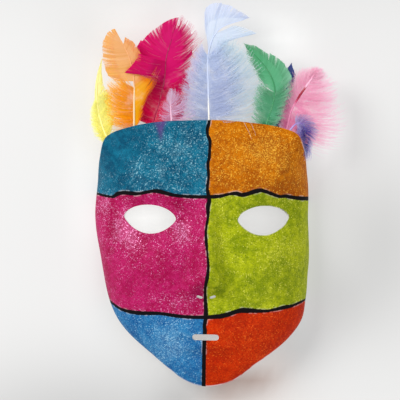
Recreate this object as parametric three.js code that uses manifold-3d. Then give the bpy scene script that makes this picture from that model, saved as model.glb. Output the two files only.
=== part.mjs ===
// A thermoformed plastic face mask, lying face up on its rim, with nine dyed feathers glued
// behind the top edge of its forehead. The front is painted in six colour fields, which are
// only colour, so the solid carries the bare shell: brow, eye sockets, nose, cheeks, lips, chin.
//
// Millimetres. +X is the viewer's right when the mask is seen from the front, +Y runs from the
// chin to the forehead, and +Z points out of the face. The face itself is worked out about the
// middle of its own height, and the whole part is then moved so that its origin is the middle of
// the underside of everything together.
import * as THREE from 'three';
import { mergeVertices } from 'three/addons/utils/BufferGeometryUtils.js';
import Module from 'manifold-3d';

// Driving sizes of the shell.
const WALL = 1.2;
const CROWN_HEIGHT = 43;
const CROWN_FALL = 5;
const CROWN_FALL_LENGTH = 80;
const HUB = { x: 0, y: -14 };
const SPOKES = 56;
const RINGS = 18;
const RING_CROWDING = 0.6;
// Where the skin lies nearly flat at the cut edge, the edge is kept from growing wider than this.
const LEAST_EDGE_SLANT = 0.7;

// How far the cut edge reaches from the hub: angle in degrees, anticlockwise from +X, and mm.
// The left temple stands out further than the right, and the right jaw is the fuller one.
const RIM_REACH = [
  [1.7, 68.8], [26.4, 76.7], [43.8, 94.1], [51.3, 104.8], [55.5, 109.5], [58, 110],
  [61.9, 108.6], [74.3, 103.5], [88, 101.3], [98, 101.9], [108.8, 105.4], [118.9, 109.7],
  [124.3, 111.9], [127.5, 111.3], [132.5, 104.9], [141.6, 93.2], [153.4, 83.4], [164.6, 75.3],
  [173.1, 71], [184, 68.4], [207, 67], [228, 65], [239, 65.8], [250.4, 69.3], [261, 74.2],
  [271, 76], [284.7, 74], [299, 69.4], [310.2, 69.2], [333, 71.5], [345.2, 69.3],
];
// Further in, the dome follows this plainer egg instead, so no corner of the edge runs into it.
const EGG = { side: 70, above: 101, below: 76, fullness: 2.7 };

// The edge lies flat at the temples and lifts towards the forehead and the chin.
const FOREHEAD_LIFT = 30;
const FOREHEAD_LIFT_FROM = 42;
const FOREHEAD_LIFT_TO = 80;
const CHIN_LIFT = 24;
const CHIN_LIFT_FROM = -18;
const CHIN_LIFT_TO = -84;
const DOME_POWER = 2.7;
const SIDE_ROUNDNESS = 2;
const END_ROUNDNESS = 1.3;

// Soft mounds and hollows of the face: [half distance from the midline, y, width, height, depth].
const MOUNDS = {
  brow: [30, 41, 24, 9, 3],
  glabella: [0, 38, 13, 11, 1.4],
  socket: [37, 20.5, 20, 13, -5.5],
  socketCorner: [15, 22, 7, 9, -2.6],
  cheek: [37, -12, 21, 18, 3.2],
  nostrilWing: [10, -24.4, 5.2, 5.4, 3.8],
  muzzle: [0, -52, 27, 17, 4.4],
  upperLip: [0, -54.2, 16, 3, 1.2],
  lowerLip: [0, -63, 13, 3.2, 1.7],
  lipCorner: [17, -58.5, 4, 4, -1],
  chinCrease: [0, -70, 17, 3.6, -1.6],
  chin: [0, -79, 15, 8, 3],
};
// The nose: its ridge climbs from the root to the tip, widens as it goes, and tucks under.
const NOSE = {
  bridgeY: 33, tipY: -21, baseY: -32, height: 16.6, bridgeHalf: 6.4, wingHalf: 10.2, rootRise: 1.5,
  rootSpeed: 4, tipRounding: 4, rise: 1.1, widening: 1.4, flank: 1.1, flankPower: 3,
};

const EYE = {
  left: { x: -37.3, y: 22.3, width: 34.8, above: 8.7, below: 10.4, tilt: -4 },
  right: { x: 38, y: 21.4, width: 34, above: 8.8, below: 10.6, tilt: 3 },
  topFullness: 0.58,
  bottomFullness: 0.81,
};
const MOUTH = { x: -0.4, y: -56.6, width: 17.6, height: 4, tilt: -1 };
const NOSTRIL = { x: 4.3, y: -29.9, width: 4.2, height: 1.6, tilt: 18 };

// Feathers. The spine starts behind the forehead, at 'root' and 'edge' on the plan, and goes on
// through the points after them. 'below' is how far the quill hangs under the plastic at both.
// A lock is a fan of barbs on one side: [place along the spine, length, angle to the spine].
const QUILL_RADIUS = 0.95;
const QUILL_TIP_RADIUS = 0.35;
const QUILL_SIDES = 5;
const QUILL_STEPS = 9;
const GLUE_GAP = 0.35;
const ROOT_DROP_SHARE = 0.4;
const VANE_HALF = [0.4, 0.25];
const DOWN_HALF = [0.7, 0.4];
const ROOT_OVERLAP = 0.25;
const LOCK_STEPS = 1;

const LEFT = -1;
const RIGHT = 1;
const FEATHERS = {
  yellow: {
    dye: 0xf6e65a, root: [-58.1, 67.7], edge: [-65.7, 75.4], below: 3.2,
    path: [[-71, 89.6, 19.5], [-72.8, 102.9, 18.5], [-72.2, 115.5, 18], [-70.1, 126.2, 17.5]],
    locks: [
      [LEFT, 'down', [[0.17, 5, 64], [0.27, 8, 60], [0.4, 7, 46], [0.54, 3, 34]]],
      [RIGHT, 'down', [[0.2, 7, 48], [0.32, 13, 56], [0.46, 13, 50], [0.6, 8, 40]]],
      [LEFT, 'vane', [[0.54, 3, 34], [0.75, 2.4, 26], [1, 3, 2]]],
      [RIGHT, 'vane', [[0.6, 8, 40], [0.78, 5, 26], [1, 3, 2]]],
    ],
  },
  orange: {
    dye: 0xf0952c, root: [-47.5, 70.4], edge: [-47.9, 84.2], below: 0,
    path: [[-47.9, 98.3, 29.8], [-48, 114.2, 30.2], [-51.1, 128.8, 30], [-57.4, 142.1, 28.6]],
    locks: [
      [LEFT, 'down', [[0.18, 15, 96], [0.26, 18, 82], [0.36, 20, 68], [0.47, 20, 62],
        [0.58, 16, 58]]],
      [RIGHT, 'down', [[0.18, 4, 60], [0.28, 11, 42], [0.38, 21, 40], [0.47, 25, 42],
        [0.53, 15, 48], [0.58, 6, 50]]],
      [LEFT, 'vane', [[0.66, 17, 86], [0.78, 18, 74], [0.9, 13, 56], [1, 6, 2]]],
      [RIGHT, 'vane', [[0.66, 6, 64], [0.78, 8, 56], [0.88, 9, 40]]],
      [RIGHT, 'vane', [[0.89, 5, 34], [1, 6, 2]]],
    ],
  },
  magenta: {
    dye: 0xc9146a, root: [-37.8, 70.4], edge: [-35.5, 85.5], below: 5.4,
    path: [[-31.1, 99.6, 22.4], [-27.8, 114.2, 22.6], [-26.5, 128.8, 22.8], [-22.2, 143.4, 22.6]],
    locks: [
      [LEFT, 'down', [[0.18, 8, 78], [0.28, 10, 68], [0.4, 12, 64], [0.54, 16, 72]]],
      [LEFT, 'vane', [[0.56, 20, 84], [0.62, 27, 92], [0.68, 19, 88], [0.75, 12, 74]]],
      [LEFT, 'vane', [[0.76, 19, 90], [0.81, 21, 74]]],
      [LEFT, 'vane', [[0.82, 20, 70], [0.9, 17, 54], [1, 14, 2]]],
      [RIGHT, 'down', [[0.18, 14, 84], [0.28, 19, 72], [0.4, 20, 60], [0.52, 19, 56]]],
      [RIGHT, 'vane', [[0.52, 19, 56], [0.66, 23, 54], [0.8, 22, 46], [0.91, 18, 30], [1, 14, 2]]],
    ],
  },
  blush: {
    dye: 0xe2c6da, root: [-22.5, 73], edge: [-23, 87], below: 0,
    path: [[-23.4, 91.6, 27.6], [-23.6, 96.3, 27.8], [-23.6, 100.3, 27.8], [-23.6, 104.2, 27.4]],
    locks: [
      [LEFT, 'down', [[0.18, 8, 84], [0.4, 10, 62], [0.7, 9, 44], [1, 5, 2]]],
      [RIGHT, 'down', [[0.18, 9, 84], [0.4, 11, 62], [0.7, 10, 44], [1, 5, 2]]],
    ],
  },
  sky: {
    dye: 0xb9cbe8, root: [2.6, 70.4], edge: [1.9, 87.6], below: 2.2,
    path: [[1.4, 109.6, 25.2], [1.5, 131.5, 25.8], [9, 147.8, 26.2], [28.2, 155.1, 25]],
    locks: [
      [LEFT, 'down', [[0.18, 14, 88], [0.27, 17, 68], [0.38, 17, 58], [0.5, 13, 48],
        [0.58, 9, 40]]],
      [RIGHT, 'down', [[0.18, 25, 86], [0.25, 34, 72], [0.33, 38, 62], [0.42, 35, 55],
        [0.52, 24, 51], [0.59, 14, 48]]],
      [LEFT, 'vane', [[0.6, 19, 10], [0.63, 26, 16], [0.67, 27, 16], [0.705, 25, 14]]],
      [LEFT, 'vane', [[0.715, 23, 6], [0.8, 16, 14], [0.9, 9, 14], [1, 1.5, 2]]],
      [RIGHT, 'vane', [[0.6, 6, 60], [0.64, 14, 58], [0.68, 22, 58], [0.71, 30, 58],
        [0.735, 22, 48], [0.76, 12, 30]]],
    ],
  },
  green: {
    dye: 0x4aa869, root: [38.2, 70.4], edge: [40.2, 84.6], below: 0,
    path: [[44.4, 98.3, 28.6], [45.2, 110.2, 28.8], [39.5, 122.2, 28.8], [27.6, 135.5, 28]],
    locks: [
      [LEFT, 'down', [[0.18, 7, 80], [0.28, 10, 64], [0.4, 12, 58], [0.52, 12, 56]]],
      [LEFT, 'vane', [[0.52, 12, 56], [0.68, 11, 52], [0.85, 9, 44], [1, 4, 2]]],
      [RIGHT, 'down', [[0.18, 8, 74], [0.3, 10, 58], [0.42, 13, 50], [0.52, 15, 48]]],
      [RIGHT, 'vane', [[0.52, 15, 48], [0.66, 14, 52], [0.79, 10, 60]]],
      [RIGHT, 'vane', [[0.8, 9, 46], [0.9, 8, 38], [1, 4, 2]]],
    ],
  },
  navy: {
    dye: 0x5b6fa8, root: [46.8, 69.1], edge: [48.1, 82.3], below: 7,
    path: [[50.8, 95.6, 21.2], [52.8, 106.2, 21.6], [54.8, 114.9, 22], [56.4, 122.8, 22]],
    locks: [
      [LEFT, 'down', [[0.2, 5, 70], [0.35, 6, 50], [0.5, 7, 40]]],
      [RIGHT, 'down', [[0.24, 3, 56], [0.35, 6, 50], [0.5, 7, 40]]],
      [LEFT, 'vane', [[0.5, 7, 40], [0.75, 7, 36], [1, 3, 2]]],
      [RIGHT, 'vane', [[0.5, 7, 40], [0.75, 7, 36], [1, 3, 2]]],
    ],
  },
  pink: {
    dye: 0xeaa2c6, root: [50.1, 69.7], edge: [53.7, 80.7], below: 5.4,
    path: [[56.5, 93, 23.4], [61, 101.6, 24.4], [66.5, 109.6, 25], [72, 117.5, 25.4]],
    locks: [
      [LEFT, 'down', [[0.2, 5, 64], [0.34, 8, 50], [0.5, 12, 42], [0.75, 11, 34], [1, 5, 2]]],
      [RIGHT, 'down', [[0.2, 27, 98], [0.3, 36, 90], [0.42, 33, 78], [0.58, 27, 62],
        [0.75, 20, 50], [0.88, 13, 38], [1, 5, 2]]],
    ],
  },
  violet: {
    dye: 0x7d68b4, root: [48.8, 68.4], edge: [55.4, 79.7], below: 1,
    path: [[60.8, 85.9, 28.6], [66.7, 87.4, 30], [71.5, 81.7, 28.6], [70.1, 69.7, 25]],
    locks: [
      [LEFT, 'down', [[0.42, 3, 40], [0.6, 4, 50], [0.8, 5, 40], [1, 8, 2]]],
      [RIGHT, 'down', [[0.42, 6, 92], [0.55, 10, 82], [0.7, 11, 62], [0.84, 9, 36],
        [0.92, 9, 22], [1, 8, 2]]],
    ],
  },
};

// Whites and the paint's base, as the bare solid shows them.
const SHELL_COLOUR = 0xe9e7e2;

const wasm = await Module();
wasm.setup();

const degrees = (angle) => THREE.MathUtils.degToRad(angle);
const mix = (a, b, share) => a + (b - a) * share;

function smooth(share) {
  const s = THREE.MathUtils.clamp(share, 0, 1);
  return s * s * (3 - 2 * s);
}

// The values at a place between rows of [place, value, value...], flat past both ends.
function alongRows(rows, place) {
  let k = 0;
  while (k < rows.length - 2 && place > rows[k + 1][0]) k += 1;
  const [from, to] = [rows[k], rows[k + 1]];
  const share = THREE.MathUtils.clamp((place - from[0]) / (to[0] - from[0]), 0, 1);
  return from.slice(1).map((value, i) => mix(value, to[i + 1], share));
}

// The reach of the cut edge at an angle, by a cubic through the table that closes on itself.
function rimReach(angle) {
  const turn = 360;
  const place = ((angle % turn) + turn) % turn;
  const count = RIM_REACH.length;
  const row = (k) => {
    const [at, reach] = RIM_REACH[((k % count) + count) % count];
    return [at + turn * Math.floor(k / count), reach];
  };
  let k = -1;
  while (row(k + 1)[0] <= place) k += 1;
  const [before, from, to, after] = [row(k - 1), row(k), row(k + 1), row(k + 2)];
  const span = to[0] - from[0];
  const u = (place - from[0]) / span;
  const slopeFrom = ((to[1] - before[1]) / (to[0] - before[0])) * span;
  const slopeTo = ((after[1] - from[1]) / (after[0] - from[0])) * span;
  return (2 * u ** 3 - 3 * u ** 2 + 1) * from[1] + (u ** 3 - 2 * u ** 2 + u) * slopeFrom
    + (3 * u ** 2 - 2 * u ** 3) * to[1] + (u ** 3 - u ** 2) * slopeTo;
}

function rimLift(y) {
  const top = smooth((y - FOREHEAD_LIFT_FROM) / (FOREHEAD_LIFT_TO - FOREHEAD_LIFT_FROM));
  const bottom = smooth((y - CHIN_LIFT_FROM) / (CHIN_LIFT_TO - CHIN_LIFT_FROM));
  return {
    height: FOREHEAD_LIFT * top + CHIN_LIFT * bottom,
    roundness: mix(SIDE_ROUNDNESS, END_ROUNDNESS, Math.max(top, bottom)),
  };
}

// A bell-shaped mound, doubled on both sides of the midline where it stands off it.
function mound(x, y, [offset, centreY, width, height, depth]) {
  const bell = (centreX) => Math.exp(-(((x - centreX) / width) ** 2) - ((y - centreY) / height) ** 2);
  return depth * (offset === 0 ? bell(0) : bell(offset) + bell(-offset));
}

function noseRelief(x, y) {
  const down = (NOSE.bridgeY - y) / (NOSE.bridgeY - NOSE.tipY);
  const run = THREE.MathUtils.clamp(down, 0, 1);
  const ridge = NOSE.rootRise * smooth(down * NOSE.rootSpeed + 1)
    + (NOSE.height - NOSE.rootRise) * run ** NOSE.rise;
  const shoulder = NOSE.tipY + NOSE.tipRounding;
  const under = 1 - smooth((shoulder - y) / (shoulder - NOSE.baseY));
  const half = mix(NOSE.bridgeHalf, NOSE.wingHalf, run ** NOSE.widening);
  return ridge * under * Math.exp(-NOSE.flank * Math.abs(x / half) ** NOSE.flankPower);
}

function faceHeight(x, y) {
  const crown = CROWN_HEIGHT - CROWN_FALL * ((y - 5) / CROWN_FALL_LENGTH) ** 2;
  const mounds = Object.values(MOUNDS).reduce((sum, shape) => sum + mound(x, y, shape), 0);
  return crown + mounds + noseRelief(x, y);
}

// The outer surface at a spoke's angle and a share of the way out to the cut edge.
function shellPoint(angle, share) {
  const reach = rimReach(angle);
  const [dx, dy] = [Math.cos(degrees(angle)), Math.sin(degrees(angle))];
  const rim = rimLift(HUB.y + reach * dy);
  const x = HUB.x + reach * share * dx;
  const y = HUB.y + reach * share * dy;
  const eggSum = Math.abs(dx / EGG.side) ** EGG.fullness
    + Math.abs(dy / (dy > 0 ? EGG.above : EGG.below)) ** EGG.fullness;
  const toEgg = reach * eggSum ** (1 / EGG.fullness);
  const eggShare = share * (1 + (toEgg - 1) * (1 - share ** 2));
  const dome = Math.max(0, 1 - eggShare ** DOME_POWER) ** (1 / rim.roundness);
  return new THREE.Vector3(x, y, rim.height + (faceHeight(x, y) - rim.height) * dome);
}

function shellHeight(x, y) {
  const angle = THREE.MathUtils.radToDeg(Math.atan2(y - HUB.y, x - HUB.x));
  const share = Math.hypot(x - HUB.x, y - HUB.y) / rimReach(angle);
  return shellPoint(angle, Math.min(share, 1)).z;
}

// Spoke angles that give steps of about one length along the cut edge.
function spokeAngles() {
  const fine = 720;
  const length = [0];
  for (let k = 1; k <= fine; k += 1) {
    const step = shellPoint((k * 360) / fine, 1).distanceTo(shellPoint(((k - 1) * 360) / fine, 1));
    length.push(length[k - 1] + step);
  }
  const angles = [];
  let k = 0;
  for (let i = 0; i < SPOKES; i += 1) {
    const wanted = (length[fine] * i) / SPOKES;
    while (length[k + 1] < wanted) k += 1;
    const share = (wanted - length[k]) / (length[k + 1] - length[k]);
    angles.push(((k + share) * 360) / fine);
  }
  return angles;
}

// Rings crowd towards the edge, where the sides of the dome drop.
function ringShare(j) {
  const u = j / RINGS;
  return mix(u, Math.sin((u * Math.PI) / 2), RING_CROWDING);
}

function geometryOf(positions, triangles) {
  const geometry = new THREE.BufferGeometry();
  geometry.setAttribute('position', new THREE.Float32BufferAttribute(positions.flat(), 3));
  geometry.setIndex(triangles.flat());
  return geometry;
}

// The bare shell: an outer and an inner skin of spokes and rings, joined by the cut edge.
function shellSkins() {
  const angles = spokeAngles();
  const outer = [];
  for (let j = 1; j <= RINGS; j += 1) outer.push(angles.map((a) => shellPoint(a, ringShare(j))));
  const hub = shellPoint(0, 0);
  const inner = outer.map((ring, j) => ring.map((point, i) => {
    const inwards = j === 0 ? hub : outer[j - 1][i];
    const outwards = j === RINGS - 1 ? point : outer[j + 1][i];
    const before = ring[(i + SPOKES - 1) % SPOKES];
    const after = ring[(i + 1) % SPOKES];
    const normal = outwards.clone().sub(inwards).cross(after.clone().sub(before)).normalize();
    if (j < RINGS - 1) return point.clone().addScaledVector(normal, -WALL);
    const level = new THREE.Vector3(normal.x, normal.y, 0);
    const inset = WALL / Math.max(LEAST_EDGE_SLANT, level.length());
    return point.clone().addScaledVector(level.normalize(), -inset);
  }));
  const positions = [];
  const add = (point) => positions.push(point.toArray()) - 1;
  const outerHub = add(hub);
  const innerHub = add(hub.clone().setZ(hub.z - WALL));
  const outerIds = outer.map((ring) => ring.map(add));
  const innerIds = inner.map((ring) => ring.map(add));
  const triangles = [];
  for (let i = 0; i < SPOKES; i += 1) {
    const n = (i + 1) % SPOKES;
    triangles.push([outerHub, outerIds[0][i], outerIds[0][n]]);
    triangles.push([innerHub, innerIds[0][n], innerIds[0][i]]);
    for (let j = 0; j < RINGS - 1; j += 1) {
      const [a, b, c, d] = [outerIds[j][i], outerIds[j + 1][i], outerIds[j + 1][n], outerIds[j][n]];
      triangles.push([a, b, c], [a, c, d]);
      const [e, f, g, h] = [innerIds[j][i], innerIds[j + 1][i], innerIds[j + 1][n], innerIds[j][n]];
      triangles.push([e, g, f], [e, h, g]);
    }
    const last = RINGS - 1;
    const [a, b, c, d] = [outerIds[last][i], innerIds[last][i], innerIds[last][n], outerIds[last][n]];
    triangles.push([a, b, c], [a, c, d]);
  }
  return geometryOf(positions, triangles);
}

function solidFrom(geometry) {
  const bare = geometry.clone();
  bare.deleteAttribute('normal');
  bare.deleteAttribute('uv');
  const merged = mergeVertices(bare, 1e-4);
  return new wasm.Manifold(new wasm.Mesh({
    numProp: 3,
    vertProperties: new Float32Array(merged.attributes.position.array),
    triVerts: new Uint32Array(merged.index.array),
  }));
}

function geometryFrom(solid) {
  const mesh = solid.getMesh();
  const geometry = new THREE.BufferGeometry();
  const positions = new Float32Array(mesh.vertProperties);
  geometry.setAttribute('position', new THREE.BufferAttribute(positions, 3));
  geometry.setIndex(new THREE.BufferAttribute(new Uint32Array(mesh.triVerts), 1));
  const flat = geometry.toNonIndexed();
  flat.computeVertexNormals();
  return flat;
}

// An upright cutter through the whole shell, from an outline about its own middle.
function cutter(outline, { x, y, tilt }) {
  const shape = new THREE.Shape(outline);
  const prism = new THREE.ExtrudeGeometry(shape, { depth: 2 * CROWN_HEIGHT, bevelEnabled: false });
  prism.rotateZ(degrees(tilt));
  prism.translate(x, y, -1);
  return solidFrom(prism);
}

// An almond: full above, drawn to a shallow point below.
function almond({ width, above, below }) {
  const steps = 20;
  const points = [];
  for (let k = 0; k < steps; k += 1) {
    const turn = (2 * Math.PI * k) / steps;
    const across = Math.cos(turn);
    const upper = Math.sin(turn) >= 0;
    const rise = (1 - across ** 2) ** (upper ? EYE.topFullness : EYE.bottomFullness);
    points.push(new THREE.Vector2((across * width) / 2, upper ? above * rise : -below * rise));
  }
  return points;
}

function roundEndedSlot({ width, height }, steps = 5) {
  const radius = height / 2;
  const points = [];
  for (const end of [1, -1]) {
    for (let k = 0; k <= steps; k += 1) {
      const turn = (Math.PI * k) / steps - (end * Math.PI) / 2;
      const x = end * (width / 2 - radius) + radius * Math.cos(turn);
      points.push(new THREE.Vector2(x, radius * Math.sin(turn)));
    }
  }
  return points;
}

function maskShell() {
  const holes = [
    cutter(almond(EYE.left), EYE.left),
    cutter(almond(EYE.right), EYE.right),
    cutter(roundEndedSlot(MOUTH), MOUTH),
    ...[LEFT, RIGHT].map((side) => cutter(roundEndedSlot(NOSTRIL, 3), {
      x: side * NOSTRIL.x, y: NOSTRIL.y, tilt: side * NOSTRIL.tilt,
    })),
  ];
  return holes.reduce((shell, hole) => shell.subtract(hole), solidFrom(shellSkins()));
}

// The spine's two ends under the forehead follow the inside of the plastic.
function spineOf({ root, edge, below, path }) {
  const hang = WALL + GLUE_GAP + QUILL_RADIUS;
  const under = ([x, y], drop) => new THREE.Vector3(x, y, shellHeight(x, y) - hang - drop);
  const points = [
    under(root, below * ROOT_DROP_SHARE), under(edge, below),
    ...path.map((point) => new THREE.Vector3(...point)),
  ];
  return new THREE.CatmullRomCurve3(points, false, 'catmullrom', 0.5);
}

function quill(spine) {
  const positions = [];
  const triangles = [];
  for (let k = 0; k <= QUILL_STEPS; k += 1) {
    const place = k / QUILL_STEPS;
    const along = spine.getTangent(place);
    const across = new THREE.Vector3(along.y, -along.x, 0).normalize();
    const up = across.clone().cross(along).normalize();
    const radius = mix(QUILL_RADIUS, QUILL_TIP_RADIUS, place);
    for (let i = 0; i < QUILL_SIDES; i += 1) {
      const turn = (2 * Math.PI * i) / QUILL_SIDES;
      positions.push(spine.getPoint(place)
        .addScaledVector(across, radius * Math.cos(turn))
        .addScaledVector(up, radius * Math.sin(turn)).toArray());
    }
  }
  const id = (k, i) => k * QUILL_SIDES + (i % QUILL_SIDES);
  for (let i = 0; i < QUILL_SIDES; i += 1) {
    for (let k = 0; k < QUILL_STEPS; k += 1) {
      triangles.push([id(k, i), id(k, i + 1), id(k + 1, i + 1)]);
      triangles.push([id(k, i), id(k + 1, i + 1), id(k + 1, i)]);
    }
    if (i > 0 && i < QUILL_SIDES - 1) {
      triangles.push([id(0, 0), id(0, i + 1), id(0, i)]);
      triangles.push([id(QUILL_STEPS, 0), id(QUILL_STEPS, i), id(QUILL_STEPS, i + 1)]);
    }
  }
  const solid = solidFrom(geometryOf(positions, triangles));
  if (solid.volume() > 0) return solid;
  return solidFrom(geometryOf(positions, triangles.map(([a, b, c]) => [a, c, b])));
}

// One fan of barbs as a thin plate, from the spine out to the barbs' tips.
function lockPlate(spine, [side, kind, ribs]) {
  const [rootHalf, tipHalf] = kind === 'down' ? DOWN_HALF : VANE_HALF;
  const steps = LOCK_STEPS * (ribs.length - 1);
  const positions = [];
  for (let k = 0; k <= steps; k += 1) {
    const place = mix(ribs[0][0], ribs.at(-1)[0], k / steps);
    const [length, angle] = alongRows(ribs, place);
    const along = spine.getTangent(place);
    const across = new THREE.Vector3(along.y, -along.x, 0).normalize().multiplyScalar(side);
    const start = spine.getPoint(place).addScaledVector(across, -ROOT_OVERLAP);
    const end = start.clone()
      .addScaledVector(along, length * Math.cos(degrees(angle)))
      .addScaledVector(across, length * Math.sin(degrees(angle)));
    const rise = (point, by) => [point.x, point.y, point.z + by];
    positions.push(rise(start, rootHalf), rise(start, -rootHalf), rise(end, tipHalf), rise(end, -tipHalf));
  }
  const triangles = [];
  const quad = (a, b, c, d) => triangles.push([a, b, c], [a, c, d]);
  for (let k = 0; k < steps; k += 1) {
    const [a, b] = [4 * k, 4 * k + 4];
    quad(a, a + 2, b + 2, b);
    quad(a + 2, a + 3, b + 3, b + 2);
    quad(a + 3, a + 1, b + 1, b + 3);
    quad(a + 1, a, b, b + 1);
  }
  quad(0, 1, 3, 2);
  const last = 4 * steps;
  quad(last, last + 2, last + 3, last + 1);
  const turned = side === LEFT ? triangles.map(([a, b, c]) => [a, c, b]) : triangles;
  return solidFrom(geometryOf(positions, turned));
}

function feather(details) {
  const spine = spineOf(details);
  return details.locks.reduce((solid, lock) => solid.add(lockPlate(spine, lock)), quill(spine));
}

function named(name, solid, colour, roughness) {
  const mesh = new THREE.Mesh(
    geometryFrom(solid),
    new THREE.MeshStandardMaterial({ color: colour, roughness, metalness: 0 }),
  );
  mesh.name = name;
  return mesh;
}

const face = new THREE.Group();
face.add(named('mask_shell', maskShell(), SHELL_COLOUR, 0.45));
for (const [colour, details] of Object.entries(FEATHERS)) {
  face.add(named(`feather_${colour}`, feather(details), details.dye, 0.85));
}

const bounds = new THREE.Box3().setFromObject(face);
const middle = bounds.getCenter(new THREE.Vector3());
face.position.set(-middle.x, -middle.y, -bounds.min.z);

const mask = new THREE.Group();
mask.name = 'feathered_mask';
mask.add(face);

export default mask;
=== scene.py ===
"""A child's plastic face mask, painted in six glittering colours, with nine dyed feathers.

It lies face up on its rim. Sizes are in millimetres about the middle of the face, with x to
the viewer's right, y towards the forehead and z out of the face, and they are moved into the
frame, in metres, as each piece is made.
"""

import math

import bpy
import numpy as np
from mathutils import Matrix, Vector


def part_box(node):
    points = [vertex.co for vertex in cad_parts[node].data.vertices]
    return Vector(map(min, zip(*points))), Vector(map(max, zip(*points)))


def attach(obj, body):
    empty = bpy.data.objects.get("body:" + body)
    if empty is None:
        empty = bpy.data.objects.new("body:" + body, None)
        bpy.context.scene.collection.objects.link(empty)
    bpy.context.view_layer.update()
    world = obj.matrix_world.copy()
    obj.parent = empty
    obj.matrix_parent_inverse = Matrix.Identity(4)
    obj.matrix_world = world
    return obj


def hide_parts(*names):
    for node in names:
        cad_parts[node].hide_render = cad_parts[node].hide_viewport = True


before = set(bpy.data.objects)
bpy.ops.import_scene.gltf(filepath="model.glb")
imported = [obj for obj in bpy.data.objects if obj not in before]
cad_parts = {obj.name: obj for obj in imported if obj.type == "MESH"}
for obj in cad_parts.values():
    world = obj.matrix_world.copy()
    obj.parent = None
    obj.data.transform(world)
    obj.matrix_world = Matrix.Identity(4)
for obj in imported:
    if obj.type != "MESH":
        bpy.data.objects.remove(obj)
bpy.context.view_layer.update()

# Camera
# The mask is seen square on from far off, so the camera hangs straight above the middle of
# the view, with a long lens.
MM = 0.001
CAMERA_HEIGHT = 2200
FIELD_ON_FLOOR = 269.2
SENSOR_WIDTH = 36
VIEW_MIDDLE_FROM_SHELL = (-1.45, 35.5)


def in_scene(name, data):
    """An object of its own for a mesh, a light or a lens."""
    made = bpy.data.objects.new(name, data)
    bpy.context.collection.objects.link(made)
    return made


shell_low, shell_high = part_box("mask_shell")
shell_middle = (shell_low + shell_high) / 2
lens = bpy.data.cameras.new("front_view")
lens.sensor_width = SENSOR_WIDTH
lens.lens = SENSOR_WIDTH * CAMERA_HEIGHT / FIELD_ON_FLOOR
lens.clip_end = 20
camera = in_scene("front_view", lens)
camera.location = (
    shell_middle.x + VIEW_MIDDLE_FROM_SHELL[0] * MM,
    shell_middle.y + VIEW_MIDDLE_FROM_SHELL[1] * MM,
    CAMERA_HEIGHT * MM,
)
bpy.context.scene.camera = camera

# Mask shell
# One thin sheet of white plastic, thermoformed over a plain face and trimmed at the rim,
# with two eye holes, two nostril holes and a mouth slot cut through it.
WALL = 1.2
CROWN_HEIGHT = 43
CROWN_FALL = 5
CROWN_FALL_LENGTH = 80
CROWN_MIDDLE = 5
HUB = (0, -14)
SPOKES = 330
RINGS = 124
RING_CROWDING = 0.6
RIM_MEASURES = 1441
LEAST_EDGE_SLANT = 0.7
# The rim: angles about the hub, in degrees, and how far out it stands there.
RIM_REACH = [
    (1.7, 68.8), (26.4, 76.7), (43.8, 94.1), (51.3, 104.8), (55.5, 109.5), (58, 110),
    (61.9, 108.6), (74.3, 103.5), (88, 101.3), (98, 101.9), (108.8, 105.4), (118.9, 109.7),
    (124.3, 111.9), (127.5, 111.3), (132.5, 104.9), (141.6, 93.2), (153.4, 83.4), (164.6, 75.3),
    (173.1, 71), (184, 68.4), (207, 67), (228, 65), (239, 65.8), (250.4, 69.3), (261, 74.2),
    (271, 76), (284.7, 74), (291.5, 71.2), (299, 69.4), (310.2, 69.2), (333, 71.5), (345.2, 69.3),
]
EGG = {"side": 70, "above": 101, "below": 76, "fullness": 2.7}
FOREHEAD_LIFT = {"height": 30, "from": 42, "to": 80}
CHIN_LIFT = {"height": 24, "from": -18, "to": -84}
DOME_POWER = 2.7
SIDE_ROUNDNESS = 2
END_ROUNDNESS = 1.3
# The face's mounds: middle to each side and up the face, half width, half height and depth.
MOUNDS = {
    "brow": (30, 41, 24, 9, 3),
    "glabella": (0, 38, 13, 11, 1.4),
    "socket": (37, 20.5, 20, 13, -5.5),
    "socket corner": (15, 22, 7, 9, -2.6),
    "cheek": (37, -12, 21, 18, 3.2),
    "nostril wing": (10, -24.4, 5.2, 5.4, 3.8),
    "muzzle": (0, -52, 27, 17, 4.4),
    "upper lip": (0, -54.2, 16, 3, 1.2),
    "lower lip": (0, -63, 13, 3.2, 1.7),
    "lip corner": (17, -58.5, 4, 4, -1),
    "chin crease": (0, -70, 17, 3.6, -1.6),
    "chin": (0, -79, 15, 8, 3),
}
NOSE = {
    "bridge": 33, "tip": -21, "base": -32, "height": 16.6, "bridge_half": 6.4,
    "wing_half": 10.2, "root_rise": 1.5, "tip_rounding": 4, "root_speed": 4, "climb": 1.1,
    "widening": 1.4, "flank": 1.1, "flank_power": 3,
}
EYES = [
    {"x": -37.3, "y": 22.3, "width": 34.8, "above": 8.7, "below": 10.4, "tilt": -4},
    {"x": 38, "y": 21.4, "width": 34, "above": 8.8, "below": 10.6, "tilt": 3},
]
EYE_FULLNESS = (0.58, 0.81)
MOUTH = {"x": -0.4, "y": -56.6, "width": 17.6, "height": 4, "tilt": -1}
NOSTRIL = {"x": 4.3, "y": -29.9, "width": 4.2, "height": 1.6, "tilt": 18}
OUTLINE_STEPS = 720
SLOT_STEPS = 60


def smooth(share):
    s = np.clip(share, 0, 1)
    return s * s * (3 - 2 * s)


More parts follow.
